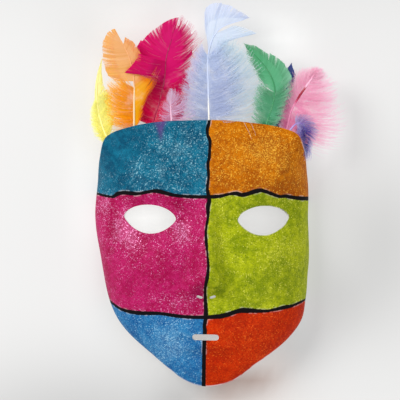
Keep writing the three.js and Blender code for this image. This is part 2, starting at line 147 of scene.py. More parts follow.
def rim_reach(degrees):
    at, reach = np.array(RIM_REACH).T
    at = np.concatenate([at - 360, at, at + 360])
    reach = np.tile(reach, 3)
    slope = np.zeros(len(at))
    slope[1:-1] = (reach[2:] - reach[:-2]) / (at[2:] - at[:-2])
    place = np.mod(degrees, 360)
    k = np.searchsorted(at, place, side="right") - 1
    span = at[k + 1] - at[k]
    u = (place - at[k]) / span
    return (
        (2 * u**3 - 3 * u**2 + 1) * reach[k]
        + (u**3 - 2 * u**2 + u) * slope[k] * span
        + (3 * u**2 - 2 * u**3) * reach[k + 1]
        + (u**3 - u**2) * slope[k + 1] * span
    )


def length_along(points):
    """The length of a line of points up to each of them."""
    steps = np.linalg.norm(np.diff(points, axis=0), axis=1)
    return np.concatenate([[0], np.cumsum(steps)])


def unit(directions):
    return directions / np.linalg.norm(directions, axis=-1, keepdims=True)


def mound(x, y, offset, middle, width, height, depth):
    def bell(at):
        return np.exp(-(((x - at) / width) ** 2) - ((y - middle) / height) ** 2)

    return depth * (bell(0) if offset == 0 else bell(offset) + bell(-offset))


def nose_relief(x, y):
    down = (NOSE["bridge"] - y) / (NOSE["bridge"] - NOSE["tip"])
    run = np.clip(down, 0, 1)
    ridge = NOSE["root_rise"] * smooth(down * NOSE["root_speed"] + 1)
    ridge = ridge + (NOSE["height"] - NOSE["root_rise"]) * run ** NOSE["climb"]
    shoulder = NOSE["tip"] + NOSE["tip_rounding"]
    under = 1 - smooth((shoulder - y) / (shoulder - NOSE["base"]))
    half = NOSE["bridge_half"] + (NOSE["wing_half"] - NOSE["bridge_half"]) * run ** NOSE["widening"]
    return ridge * under * np.exp(-NOSE["flank"] * np.abs(x / half) ** NOSE["flank_power"])


def face_height(x, y):
    crown = CROWN_HEIGHT - CROWN_FALL * ((y - CROWN_MIDDLE) / CROWN_FALL_LENGTH) ** 2
    return crown + nose_relief(x, y) + sum(mound(x, y, *shape) for shape in MOUNDS.values())


def lift_share(lift, y):
    return smooth((y - lift["from"]) / (lift["to"] - lift["from"]))


def shell_point(degrees, share):
    """The outer surface at a spoke's angle and a share of the way out to the rim."""
    reach = rim_reach(degrees)
    dx, dy = np.cos(np.radians(degrees)), np.sin(np.radians(degrees))
    rim_y = HUB[1] + reach * dy
    top, bottom = lift_share(FOREHEAD_LIFT, rim_y), lift_share(CHIN_LIFT, rim_y)
    rim = FOREHEAD_LIFT["height"] * top + CHIN_LIFT["height"] * bottom
    roundness = SIDE_ROUNDNESS + (END_ROUNDNESS - SIDE_ROUNDNESS) * np.maximum(top, bottom)
    x, y = HUB[0] + reach * share * dx, HUB[1] + reach * share * dy
    tall = np.where(dy > 0, EGG["above"], EGG["below"])
    egg = np.abs(dx / EGG["side"]) ** EGG["fullness"] + np.abs(dy / tall) ** EGG["fullness"]
    to_egg = reach * egg ** (1 / EGG["fullness"])
    egg_share = share * (1 + (to_egg - 1) * (1 - share**2))
    dome = np.maximum(0, 1 - egg_share**DOME_POWER) ** (1 / roundness)
    return np.stack([x, y, rim + (face_height(x, y) - rim) * dome], axis=-1)


def shell_height(x, y):
    degrees = np.degrees(np.arctan2(y - HUB[1], x - HUB[0]))
    share = np.hypot(x - HUB[0], y - HUB[1]) / rim_reach(degrees)
    return shell_point(degrees, np.minimum(share, 1))[..., 2]


def almond(width, above, below):
    turn = np.linspace(0, 2 * np.pi, OUTLINE_STEPS, endpoint=False)
    rise = np.sin(turn) ** 2
    y = np.where(turn < np.pi, above * rise ** EYE_FULLNESS[0], -below * rise ** EYE_FULLNESS[1])
    return np.cos(turn) * width / 2, y


def round_ended_slot(width, height):
    turn = np.linspace(0, 2 * np.pi, OUTLINE_STEPS, endpoint=False)
    radius = height / 2
    middle = np.sign(np.cos(turn)) * (width / 2 - radius)
    straight = np.linspace(-1, 1, SLOT_STEPS) * (width / 2 - radius)
    x = np.concatenate([middle + radius * np.cos(turn), straight])
    y = np.concatenate([radius * np.sin(turn), np.full(SLOT_STEPS, radius)])
    return np.concatenate([x, -x]), np.concatenate([y, -y])


def cut_hole(points, kept, quads, outline, place):
    """Drops the cells inside a hole and draws the cells around it onto the hole's edge."""
    turn = math.radians(place["tilt"])
    edge_x, edge_y = outline
    edge_turn = np.arctan2(edge_y, edge_x) % (2 * np.pi)
    order = np.argsort(edge_turn)
    edge_turn, edge_reach = edge_turn[order], np.hypot(edge_x, edge_y)[order]

    def polar(x, y):
        dx, dy = x - place["x"], y - place["y"]
        angle = (np.arctan2(dy, dx) - turn) % (2 * np.pi)
        return np.hypot(dx, dy), np.interp(angle, edge_turn, edge_reach, period=2 * np.pi)

    centre = points[quads].mean(axis=1)
    distance, edge = polar(centre[:, 0], centre[:, 1])
    inside = distance < edge
    border = np.intersect1d(quads[inside], quads[kept & ~inside])
    distance, edge = polar(points[border, 0], points[border, 1])
    pull = (edge / distance)[:, None]
    middle = np.array([place["x"], place["y"]])
    points[border, :2] = middle + (points[border, :2] - middle) * pull
    points[border, 2] = shell_height(points[border, 0], points[border, 1])
    return kept & ~inside


# Spokes stand at equal steps along the rim, and rings crowd where the sides of the dome drop.
fine = np.linspace(0, 360, RIM_MEASURES)
rim_length = length_along(shell_point(fine, 1.0))
spoke = np.interp(np.arange(SPOKES) / SPOKES * rim_length[-1], rim_length, fine)
ring = np.arange(1, RINGS + 1) / RINGS
ring = (1 - RING_CROWDING) * ring + RING_CROWDING * np.sin(ring * np.pi / 2)
grid = shell_point(spoke[None, :], ring[:, None])
outer = np.concatenate([shell_point(0.0, 0.0)[None], grid.reshape(-1, 3)])

cell = 1 + np.arange(RINGS * SPOKES).reshape(RINGS, SPOKES)
after = np.roll(cell, -1, axis=1)
quads = np.stack([cell[:-1], cell[1:], after[1:], after[:-1]], axis=-1).reshape(-1, 4)
kept = np.ones(len(quads), bool)
for eye in EYES:
    kept = cut_hole(outer, kept, quads, almond(eye["width"], eye["above"], eye["below"]), eye)
kept = cut_hole(outer, kept, quads, round_ended_slot(MOUTH["width"], MOUTH["height"]), MOUTH)
for side in (-1, 1):
    nostril = dict(NOSTRIL, x=side * NOSTRIL["x"], tilt=side * NOSTRIL["tilt"])
    kept = cut_hole(outer, kept, quads, round_ended_slot(NOSTRIL["width"], NOSTRIL["height"]), nostril)

grid = outer[1:].reshape(RINGS, SPOKES, 3)
inwards = np.concatenate([np.broadcast_to(outer[0], (1, SPOKES, 3)), grid[:-1]])
outwards = np.concatenate([grid[1:], grid[-1:]])
around = np.roll(grid, -1, axis=1) - np.roll(grid, 1, axis=1)
normal = unit(np.cross(outwards - inwards, around))
inner = grid - WALL * normal
level = normal[-1] * (1, 1, 0)
slant = np.linalg.norm(level, axis=-1, keepdims=True)
inner[-1] = grid[-1] - WALL * level / slant / np.maximum(LEAST_EDGE_SLANT, slant)
inner = np.concatenate([outer[:1] - (0, 0, WALL), inner.reshape(-1, 3)])

skin = len(outer)
edges = np.stack([quads, np.roll(quads, -1, axis=1)], axis=-1)
kept_edges, cut_edges = edges[kept].reshape(-1, 2), edges[~kept].reshape(-1, 2)
beside_cut = np.isin(kept_edges[:, 0] * skin + kept_edges[:, 1], cut_edges[:, 1] * skin + cut_edges[:, 0])
hole_edges = kept_edges[beside_cut]
rim_edges = np.stack([cell[-1], after[-1]], axis=-1)
walls = np.concatenate([hole_edges, rim_edges])
walls = np.stack([walls[:, 1], walls[:, 0], walls[:, 0] + skin, walls[:, 1] + skin], axis=-1)
hub_fan = np.stack([np.zeros(SPOKES, int), cell[0], after[0]], axis=-1)

shell_points = np.concatenate([outer, inner])
drawn_middle = (shell_points.max(axis=0) + shell_points.min(axis=0)) / 2
FACE_SHIFT = np.array([*(shell_middle / MM)[:2] - drawn_middle[:2], 0])


def drawn(name, points, faces, materials, indices=None):
    """A smooth-shaded mesh of points in millimetres."""
    mesh = bpy.data.meshes.new(name)
    mesh.vertices.add(len(points))
    mesh.vertices.foreach_set("co", (points * MM).astype(np.float32).ravel())
    corners = np.concatenate([np.ravel(some) for some in faces]).astype(np.int32)
    sizes = np.concatenate([np.full(len(some), np.shape(some)[1]) for some in faces])
    mesh.loops.add(len(corners))
    mesh.loops.foreach_set("vertex_index", corners)
    mesh.polygons.add(len(sizes))
    mesh.polygons.foreach_set("loop_start", (np.cumsum(sizes) - sizes).astype(np.int32))
    for material in materials:
        mesh.materials.append(material)
    if indices is not None:
        mesh.polygons.foreach_set("material_index", np.asarray(indices, np.int32))
    mesh.update(calc_edges=True)
    mesh.shade_smooth()
    return in_scene(name, mesh)


def piece(name, points, faces, materials, indices=None):
    """A drawn piece of the mask, moved from the face's place to the frame's, on the one body."""
    made = drawn(name, points + FACE_SHIFT, faces, materials, indices)
    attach(made, "root")
    return made


def store(made, name, values):
    """Keeps one number, or three, at each point of a piece for its material to read."""
    values = np.asarray(values, np.float32)
    kind = "FLOAT" if values.ndim == 1 else "FLOAT_VECTOR"
    field = made.data.attributes.new(name, kind, "POINT")
    field.data.foreach_set("value" if values.ndim == 1 else "vector", values.ravel())


class Wire:
    """A socket of a material's nodes. Sums written with wires add Math nodes."""

    def __init__(self, socket):
        self.socket = socket

    def node(self, kind, settings=None, values=None, output=0):
        """Adds a node beside this wire: its settings first, then its sockets' values or wires."""
        tree = self.socket.id_data
        made = tree.nodes.new("ShaderNode" + kind)
        for name, setting in (settings or {}).items():
            if name == "stops":
                for stop, (place, colour) in zip(made.color_ramp.elements, setting):
                    stop.position, stop.color = place, (*colour, 1)
                for place, colour in setting[2:]:
                    made.color_ramp.elements.new(place).color = (*colour, 1)
            else:
                setattr(made, name, setting)
        for name, value in (values or {}).items():
            if isinstance(value, Wire):
                tree.links.new(value.socket, made.inputs[name])
            else:
                made.inputs[name].default_value = value
        return Wire(made.outputs[output])

    def sum(self, operation, *values):
        return self.node("Math", {"operation": operation}, dict(enumerate(values)))

    def __add__(self, other):
        return self.sum("ADD", self, other)

    def __sub__(self, other):
        return self.sum("SUBTRACT", self, other)

    def __rsub__(self, other):
        return self.sum("SUBTRACT", other, self)

    def __mul__(self, other):
        return self.sum("MULTIPLY", self, other)

    def __gt__(self, other):
        return self.sum("GREATER_THAN", self, other)

    def __lt__(self, other):
        return self.sum("LESS_THAN", self, other)

    def __abs__(self):
        return self.sum("ABSOLUTE", self)

    __radd__ = __add__
    __rmul__ = __mul__

    def ramp(self, low, high):
        """0 below low, 1 above high, and soft between them. Low may be the larger."""
        values = {"Value": self, "From Min": low, "From Max": high}
        return self.node("MapRange", {"interpolation_type": "SMOOTHSTEP"}, values)

    def blend(self, under, over):
        """A colour that goes from under to over as this wire goes from 0 to 1."""
        under, over = (c if isinstance(c, Wire) else (*c, 1) for c in (under, over))
        return self.node("Mix", {"data_type": "RGBA"}, {0: self, 6: under, 7: over}, 2)

    def noise(self, scale, detail=3, roughness=0.5):
        """Cloudy noise from 0 to 1 over this place, with a number of clouds to the millimetre."""
        values = {"Vector": self, "Scale": scale, "Detail": detail, "Roughness": roughness}
        return self.node("TexNoise", None, values, "Fac")

    def waxy(self, gloss, share, tint):
        """A glossy shader that lets a share of the light through, in one tint."""
        glow = self.node("BsdfTranslucent", None, {"Color": (*tint, 1)})
        return self.node("MixShader", None, {0: share, 1: gloss, 2: glow})

    def kept(self, name):
        """The three numbers kept under a name at each point of the piece."""
        vector = self.node("Attribute", {"attribute_name": name}, None, "Vector")
        return [vector.node("SeparateXYZ", None, {0: vector}, axis) for axis in "XYZ"]


def new_material(name):
    """An empty material, and a wire that holds the place on the piece in millimetres."""
    material = bpy.data.materials.new(name)
    material.use_nodes = True
    material.node_tree.nodes.clear()
    place = Wire(material.node_tree.nodes.new("ShaderNodeTexCoord").outputs["Object"])
    place = place.node("VectorMath", {"operation": "SCALE"}, {0: place, "Scale": 1 / MM})
    return material, place


def set_surface(material, shader):
    surface = material.node_tree.nodes.new("ShaderNodeOutputMaterial").inputs["Surface"]
    material.node_tree.links.new(shader.socket, surface)
    return material


def colour(red, green, blue):
    """A colour by eye, in 0 to 255, as the light that the shader works in."""
    shares = (v / 255 for v in (red, green, blue))
    return tuple(s / 12.92 if s <= 0.04045 else ((s + 0.055) / 1.055) ** 2.4 for s in shares)


# Bare white plastic, on the back, the rim and the sides of every hole. It is smooth and a
# little waxy, and lets some light through.
PLASTIC_GLOW = 0.22
bare_plastic, place = new_material("bare_plastic")
mottle = place.noise(0.05, 4)
grain = {"Strength": 0.08, "Distance": 0.1 * MM, "Height": place.noise(1.4, 2)}
gloss = place.node("BsdfPrincipled", None, {
    "Base Color": mottle.ramp(0.3, 0.7).blend(colour(228, 226, 221), colour(240, 239, 236)),
    "Roughness": 0.36 + mottle * 0.1,
    "Normal": place.node("Bump", None, grain),
})
set_surface(bare_plastic, place.waxy(gloss, PLASTIC_GLOW, colour(240, 236, 228)))

# The paint
# Glitter craft paint, brushed on in six fields that meet under wavy black lines, each drawn
# with one stroke of a round brush: one down the middle, one under the brow, one at the jaw.
# A line's values are its points and half its width at each, and the wet paint spread a little.
LINE_STEPS = 5
MIDLINE_FATNESS = 1.08
CROSS_LINE_FATNESS = 1.15
SHARP_ANGLE = 42
FAR_FROM_EDGE = 70
MIDLINE = [
    (2.6, 94, 1), (2, 85.7, 1), (0.9, 81.7, 1), (0.9, 77.7, 0.9), (2.4, 73.7, 1), (2.5, 69.7, 0.9),
    (2, 61.8, 0.9), (1.1, 57.8, 1), (1.6, 49.8, 0.8), (0.8, 41.9, 0.9), (2, 34, 1.3), (1.2, 30, 1.4),
    (1.1, 22.1, 0.8), (-0.2, 14.2, 0.7), (0.1, 6.4, 1), (0.8, -1.5, 0.6), (1.4, -9.3, 0.8),
    (0.6, -17.1, 1.1), (-0.7, -25.2, 0.8), (-0.1, -41.2, 1.4), (-1.1, -49.2, 1.1), (-0.8, -53.1, 1.2),
    (-1.4, -65.3, 1.2), (-1.6, -92, 1.2),
]
BROW_LINE = [
    (-78.5, 39.8, 0.6), (-63.6, 36.3, 0.7), (-58.9, 38.3, 1.2), (-54.1, 38.9, 1.1), (-49.5, 38.5, 1.2),
    (-44.8, 38.3, 0.9), (-35.5, 40, 1), (-30.8, 39.7, 1.2), (-16.9, 36.7, 0.9), (6.2, 36.3, 1.1),
    (15.4, 38.1, 0.8), (20.1, 38.4, 1.2), (24.6, 37.5, 1.2), (34, 40.2, 1.3), (38.5, 40, 1.1),
    (48, 36.6, 0.9), (52.8, 36.6, 1), (62.4, 35.3, 1.2), (77.5, 35, 1.1),
]
JAW_LINE = [
    (-72.5, -29, 0.6), (-66.5, -32.2, 0.6), (-59, -37.4, 0.7), (-54.2, -39.3, 0.9), (-44.9, -40.8, 1.2),
    (-30.9, -40.9, 1), (-16.9, -42.7, 1), (-3, -43.3, 1), (10.8, -42.4, 1.4), (20.1, -39.5, 1.2),
    (24.6, -38.8, 1.6), (38.6, -39.4, 0.9), (43.4, -38.8, 0.8), (52.8, -36.9, 1.2), (57.5, -36.1, 0.8),
    (66.5, -32.6, 0.6), (73.5, -29, 0.6),
]
# The paint is worn at the right and at the chin: where that starts, and over what length.
WORN_RIGHT = (36, 20)
WORN_BELOW_TOP = (76, 8)
WORN_CHIN = (-50, 24)
# Uneven places in the paint, and painted light and shade, as soft spots: middle, half width, half height
# and strength. The deep paint is partly deeper paint and partly painted shade, darker under the right
# brow, round the right eye socket and beside the nose, with a painted highlight along the nose ridge; the
# thick glitter along the nose ridge is a painted highlight too.
THICK_GLITTER_AND_RIDGE_HIGHLIGHT = [
    (-21, 67, 14, 12, 0.4), (-30, 54, 4.6, 4, 0.8), (-47, 55, 5, 7, 0.7), (-53, 12, 9, 11, 1.2),
    (-17, 14, 6.6, 9, 1), (-68, 30, 5, 7, 0.8), (-21, -32, 18, 9, 0.35), (-34, -22, 30, 14, -0.3),
    (42, 66, 13, 9, 0.6), (34, 62, 34, 26, 0.5), (50, 0.5, 14, 11, 0.5), (8.5, 12, 6, 23, 0.3),
    (-24, -61, 16, 15, 0.8), (30, -62, 22, 12, 0.4), (-58, 70, 12, 20, -0.7),
]
DEEP_PAINT_AND_PAINTED_SHADE = [
    (-19, 32, 3.6, 3, 0.8), (-61.5, 18, 4, 9, 0.6), (8.5, -26, 4.5, 5, 1), (29, -20, 8, 5.5, 0.5),
    (-52, -22, 5, 9, 0.6), (-42, 2, 4, 8, 0.35), (38, 21, 25, 16, 0.35), (-60, 62, 10, 26, 0.3),
    (56, -22, 8, 12, 0.35), (8.5, 12, 6, 23, -0.5), (22, 78, 13, 6, -0.5), (30, 44, 26, 5, 0.4),
    (59, 60, 5, 18, -0.45), (50, 52, 12, 8, -0.2), (-2, -22, 5, 10, 0.2), (56, 4, 10, 16, -0.4),
    (30, 30, 20, 5, 0.3),
]
PURPLE_STAIN = [(-30.6, 86, 4.4, 3.4, 0.8), (-30.4, 81, 2.6, 3.6, 0.6), (-30, 75.6, 1.5, 3.4, 0.5)]


def soft_spots(spots, x, y):
    return sum(s * np.exp(-(((x - a) / w) ** 2) - ((y - b) / h) ** 2) for a, b, w, h, s in spots)


def on_curve(path, share):
    """Points at shares of the way along a smooth curve through a path."""
    path = np.array(path, float)
    path = np.concatenate([[2 * path[0] - path[1]], path, [2 * path[-1] - path[-2]]])
    spans = len(path) - 3
    place = np.clip(share, 0, 1) * spans
    k = np.minimum(place.astype(int), spans - 1)
    u = (place - k)[:, None]
    before, start, end, after = (path[k + step] for step in range(4))
    return (
        start
        + u * (end - before) / 2
        + u**2 * (before - 2.5 * start + 2 * end - after / 2)
        + u**3 * (1.5 * start - before / 2 - 1.5 * end + after / 2)
    )


def beside_line(path, points, upright):
    """How far points are from a line, above zero to its right or above it, and its half width."""
    along, off = (1, 0) if upright else (0, 1)
    path = np.array(path, float)
    curve = on_curve(path[:, :2], np.linspace(0, 1, (len(path) - 1) * LINE_STEPS + 1))
    near = np.full(len(points), np.inf)
    for start, end in zip(curve[:-1], curve[1:]):
        run = end - start
        share = np.clip((points - start) @ run / (run @ run), 0, 1)
        near = np.minimum(near, np.linalg.norm(points - start - share[:, None] * run, axis=1))
    path, curve = (some[np.argsort(some[:, along])] for some in (path, curve))
    side = points[:, off] - np.interp(points[:, along], curve[:, along], curve[:, off])
    return near * np.sign(side), np.interp(points[:, along], path[:, along], path[:, 2])


shell = piece(
    "mask_shell_painted",
    shell_points,
    [hub_fan, quads[kept], hub_fan[:, ::-1] + skin, quads[kept][:, ::-1] + skin, walls],
    [],
    np.repeat([0, 1], [SPOKES + kept.sum(), SPOKES + kept.sum() + len(walls)]),
)
shell.data.set_sharp_from_angle(angle=math.radians(SHARP_ANGLE))
middle_line = beside_line(MIDLINE, outer[:, :2], True)
cross_lines = [beside_line(path, outer[:, :2], False) for path in (BROW_LINE, JAW_LINE)]
face_x, face_y = outer[:, 0], outer[:, 1]
spoke_steps = np.linalg.norm(np.diff(grid, axis=0), axis=-1)
from_rim = np.cumsum(spoke_steps[::-1], axis=0)[::-1].ravel()
from_rim = np.concatenate([[FAR_FROM_EDGE], from_rim, np.zeros(SPOKES)])
at_right = smooth((face_x - WORN_RIGHT[0]) / WORN_RIGHT[1])
below_top = smooth((WORN_BELOW_TOP[0] - face_y) / WORN_BELOW_TOP[1])
at_chin = smooth((WORN_CHIN[0] - face_y) / WORN_CHIN[1])
far_side = np.clip(at_right * below_top + at_chin, 0, 1)
right_eye = EYES[1]
along_edge, up_edge = almond(right_eye["width"], right_eye["above"], right_eye["below"])
turn = math.radians(right_eye["tilt"])
edge_x = right_eye["x"] + along_edge * math.cos(turn) - up_edge * math.sin(turn)
edge_y = right_eye["y"] + along_edge * math.sin(turn) + up_edge * math.cos(turn)
from_eye = np.full(len(outer), float(FAR_FROM_EDGE))
for x, y in zip(edge_x[::2], edge_y[::2]):
    from_eye = np.minimum(from_eye, np.hypot(face_x - x, face_y - y))
for name, values in {
    "line_gaps": [gap for gap, _ in (middle_line, *cross_lines)],
    "line_halves": [
        middle_line[1] * MIDLINE_FATNESS,
        *(half * CROSS_LINE_FATNESS for _, half in cross_lines),
    ],
    "paint_spots": [
        soft_spots(spots, face_x, face_y) for spots in (THICK_GLITTER_AND_RIDGE_HIGHLIGHT, DEEP_PAINT_AND_PAINTED_SHADE, PURPLE_STAIN)
    ],
    "edges": [from_rim, far_side, from_eye],
}.items():
    store(shell, name, np.tile(np.stack(values, axis=-1), (2, 1)))

# Each field: its colour where the paint is thick and where it is thin, then that of its bright and of its
# dark flecks. The bright flecks are painted glints of the glitter, in the flakes' own pale tint.
FIELDS = {
    "forehead left": ((2, 76, 106), (16, 110, 140), (160, 212, 226), (0, 42, 68)),
    "forehead right": ((160, 76, 0), (204, 116, 0), (252, 194, 70), (108, 50, 0)),
    "cheek left": ((158, 6, 68), (184, 28, 98), (240, 160, 210), (116, 0, 46)),
    "cheek right": ((124, 142, 6), (176, 186, 20), (228, 226, 96), (68, 90, 2)),
    "chin left": ((22, 92, 152), (48, 126, 180), (164, 214, 242), (10, 56, 112)),
    "chin right": ((172, 32, 0), (206, 50, 0), (242, 108, 34), (118, 14, 0)),
}
glitter_paint_with_painted_light, place = new_material("glitter_paint_with_painted_light")
middle_gap, brow_gap, jaw_gap = place.kept("line_gaps")
middle_half, brow_half, jaw_half = place.kept("line_halves")
# deep is deeper paint with painted shade and a painted highlight; crowd is thick glitter with a painted
# highlight on the nose ridge.
crowd, deep, stain = place.kept("paint_spots")
rim_gap, far_side, eye_gap = place.kept("edges")


def by_field(which):
    """One of each field's four colours, on that field's side of the lines."""
    left, right = (
        [colour(*FIELDS[f"{row} {side}"][which]) for row in ("forehead", "cheek", "chin")]
        for side in ("left", "right")
    )
    on_right = middle_gap > 0
    forehead, cheek, chin = (on_right.blend(a, b) for a, b in zip(left, right))
    return (brow_gap > 0).blend((jaw_gap > 0).blend(chin, cheek), forehead)


def flecks(scale, size):
    """Round flecks: a random number for each, a second one, and how much of it is here."""
    values = {"Vector": place, "Scale": scale}
    distance = place.node("TexVoronoi", {"feature": "F1"}, values, "Distance")
    tint = place.node("TexVoronoi", {"feature": "F1"}, values, "Color")
    chance = tint.node("SeparateColor", None, {0: tint}, "Red")
    other = tint.node("SeparateColor", None, {0: tint}, "Green")
    return chance, other, distance.ramp(size, size * 0.5)


strokes = place.noise(0.28, 4, 0.6).ramp(0.34, 0.68)
clouds = place.noise(0.05, 3).ramp(0.36, 0.64)
dapple = place.noise(0.16, 3).ramp(0.36, 0.64)
# Deep spots thin the colour and darken it towards the dark flecks': deeper paint, painted shade and a
# painted highlight.
coverage = clouds * 0.38 + dapple * 0.24 + strokes * 0.46 - deep * 0.45
thick_paint, thin_paint, glint_fleck, dark_fleck = (by_field(which) for which in range(4))
base = coverage.ramp(0, 1).blend(thick_paint, thin_paint)
base = (deep.ramp(0.2, 1.1) * 0.4).blend(base, dark_fleck)
# Painted glints: bright flecks, and a pale veil where the glitter is thick, lighten the colour, beside
# some real shine from Metallic and Roughness.
chance, strength, disc = flecks(1.4, 0.68)
thick = crowd + place.noise(0.12, 2).ramp(0.35, 0.65) * 0.4 - 0.15
bright = (chance + thick * 0.34).ramp(0.84, 1.05) * disc * (0.35 + strength * 0.65)
dark = (chance - thick * 0.05).ramp(0.42, 0.02) * disc * 0.62
fine_chance, _, fine_disc = flecks(2.5, 0.66)
fine_bright = (fine_chance + thick * 0.2).ramp(0.76, 1.05) * fine_disc * 0.42
fine_dark = fine_chance.ramp(0.44, 0) * fine_disc * 0.62
sparkle = bright.sum("MAXIMUM", bright, fine_bright)
glitter = (thick.ramp(0.2, 1.3) * 0.12).blend(base, glint_fleck)
glitter = dark.sum("MAXIMUM", dark, fine_dark).blend(glitter, dark_fleck)
glitter = sparkle.blend(glitter, glint_fleck)
stained = (stain.ramp(0.05, 0.8) * 0.75 * (0.6 + strokes * 0.4)).blend(glitter, colour(104, 44, 128))

ragged = (place.noise(0.4, 3) - 0.5) * 0.7
past_middle = abs(middle_gap) - middle_half
past_brow = abs(brow_gap) - brow_half
past_jaw = abs(jaw_gap) - jaw_half
past_cross = past_brow.sum("MINIMUM", past_brow, past_jaw)
past_line = past_middle.sum("MINIMUM", past_middle, past_cross) + ragged
line = past_line.ramp(0.3, -0.2)
thin = past_line.ramp(0.95, 0.2) * place.noise(0.2, 2).ramp(0.46, 0.66) * 0.34
beside = thin.blend(stained, colour(236, 224, 220))
worn = rim_gap.ramp(1.3, 0.4) * place.noise(0.09, 2).ramp(0.36, 0.6) * far_side * 0.7
trimmed = eye_gap.ramp(0.7, 0.1) * place.noise(0.12, 2).ramp(0.4, 0.6) * 0.5
worn = worn.sum("MAXIMUM", worn, trimmed)
worn_through = worn.blend(beside, colour(236, 226, 232))
black = place.noise(0.8, 2).blend(colour(8, 6, 8), colour(20, 17, 20))
painted = line.blend(worn_through, black)
sparkle = sparkle * (1 - line)
height = line * 0.4 + strokes * 0.22 + sparkle * 0.3
relief = {"Strength": 0.35, "Distance": 0.22 * MM, "Height": height}
set_surface(glitter_paint_with_painted_light, place.node("BsdfPrincipled", None, {
    "Base Color": painted,
    "Roughness": 0.55 - sparkle * 0.25 + line * 0.1,
    "Metallic": sparkle * 0.25,
    "Specular IOR Level": 0.06,
    "Normal": place.node("Bump", None, relief),
}))
shell.data.materials.append(glitter_paint_with_painted_light)
shell.data.materials.append(bare_plastic)
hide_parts("mask_shell")

# Feathers
# Dyed craft feathers. Each has a horny quill, barbs that cling together as a flat vane
# towards its tip, and loose downy barbs below. The quills are glued behind the forehead.
QUILL_RADIUS = 0.95
QUILL_TIP_RADIUS = 0.25
GLUE_GAP = 0.35
ROOT_DROP_SHARE = 0.4
LEFT, RIGHT = -1, 1
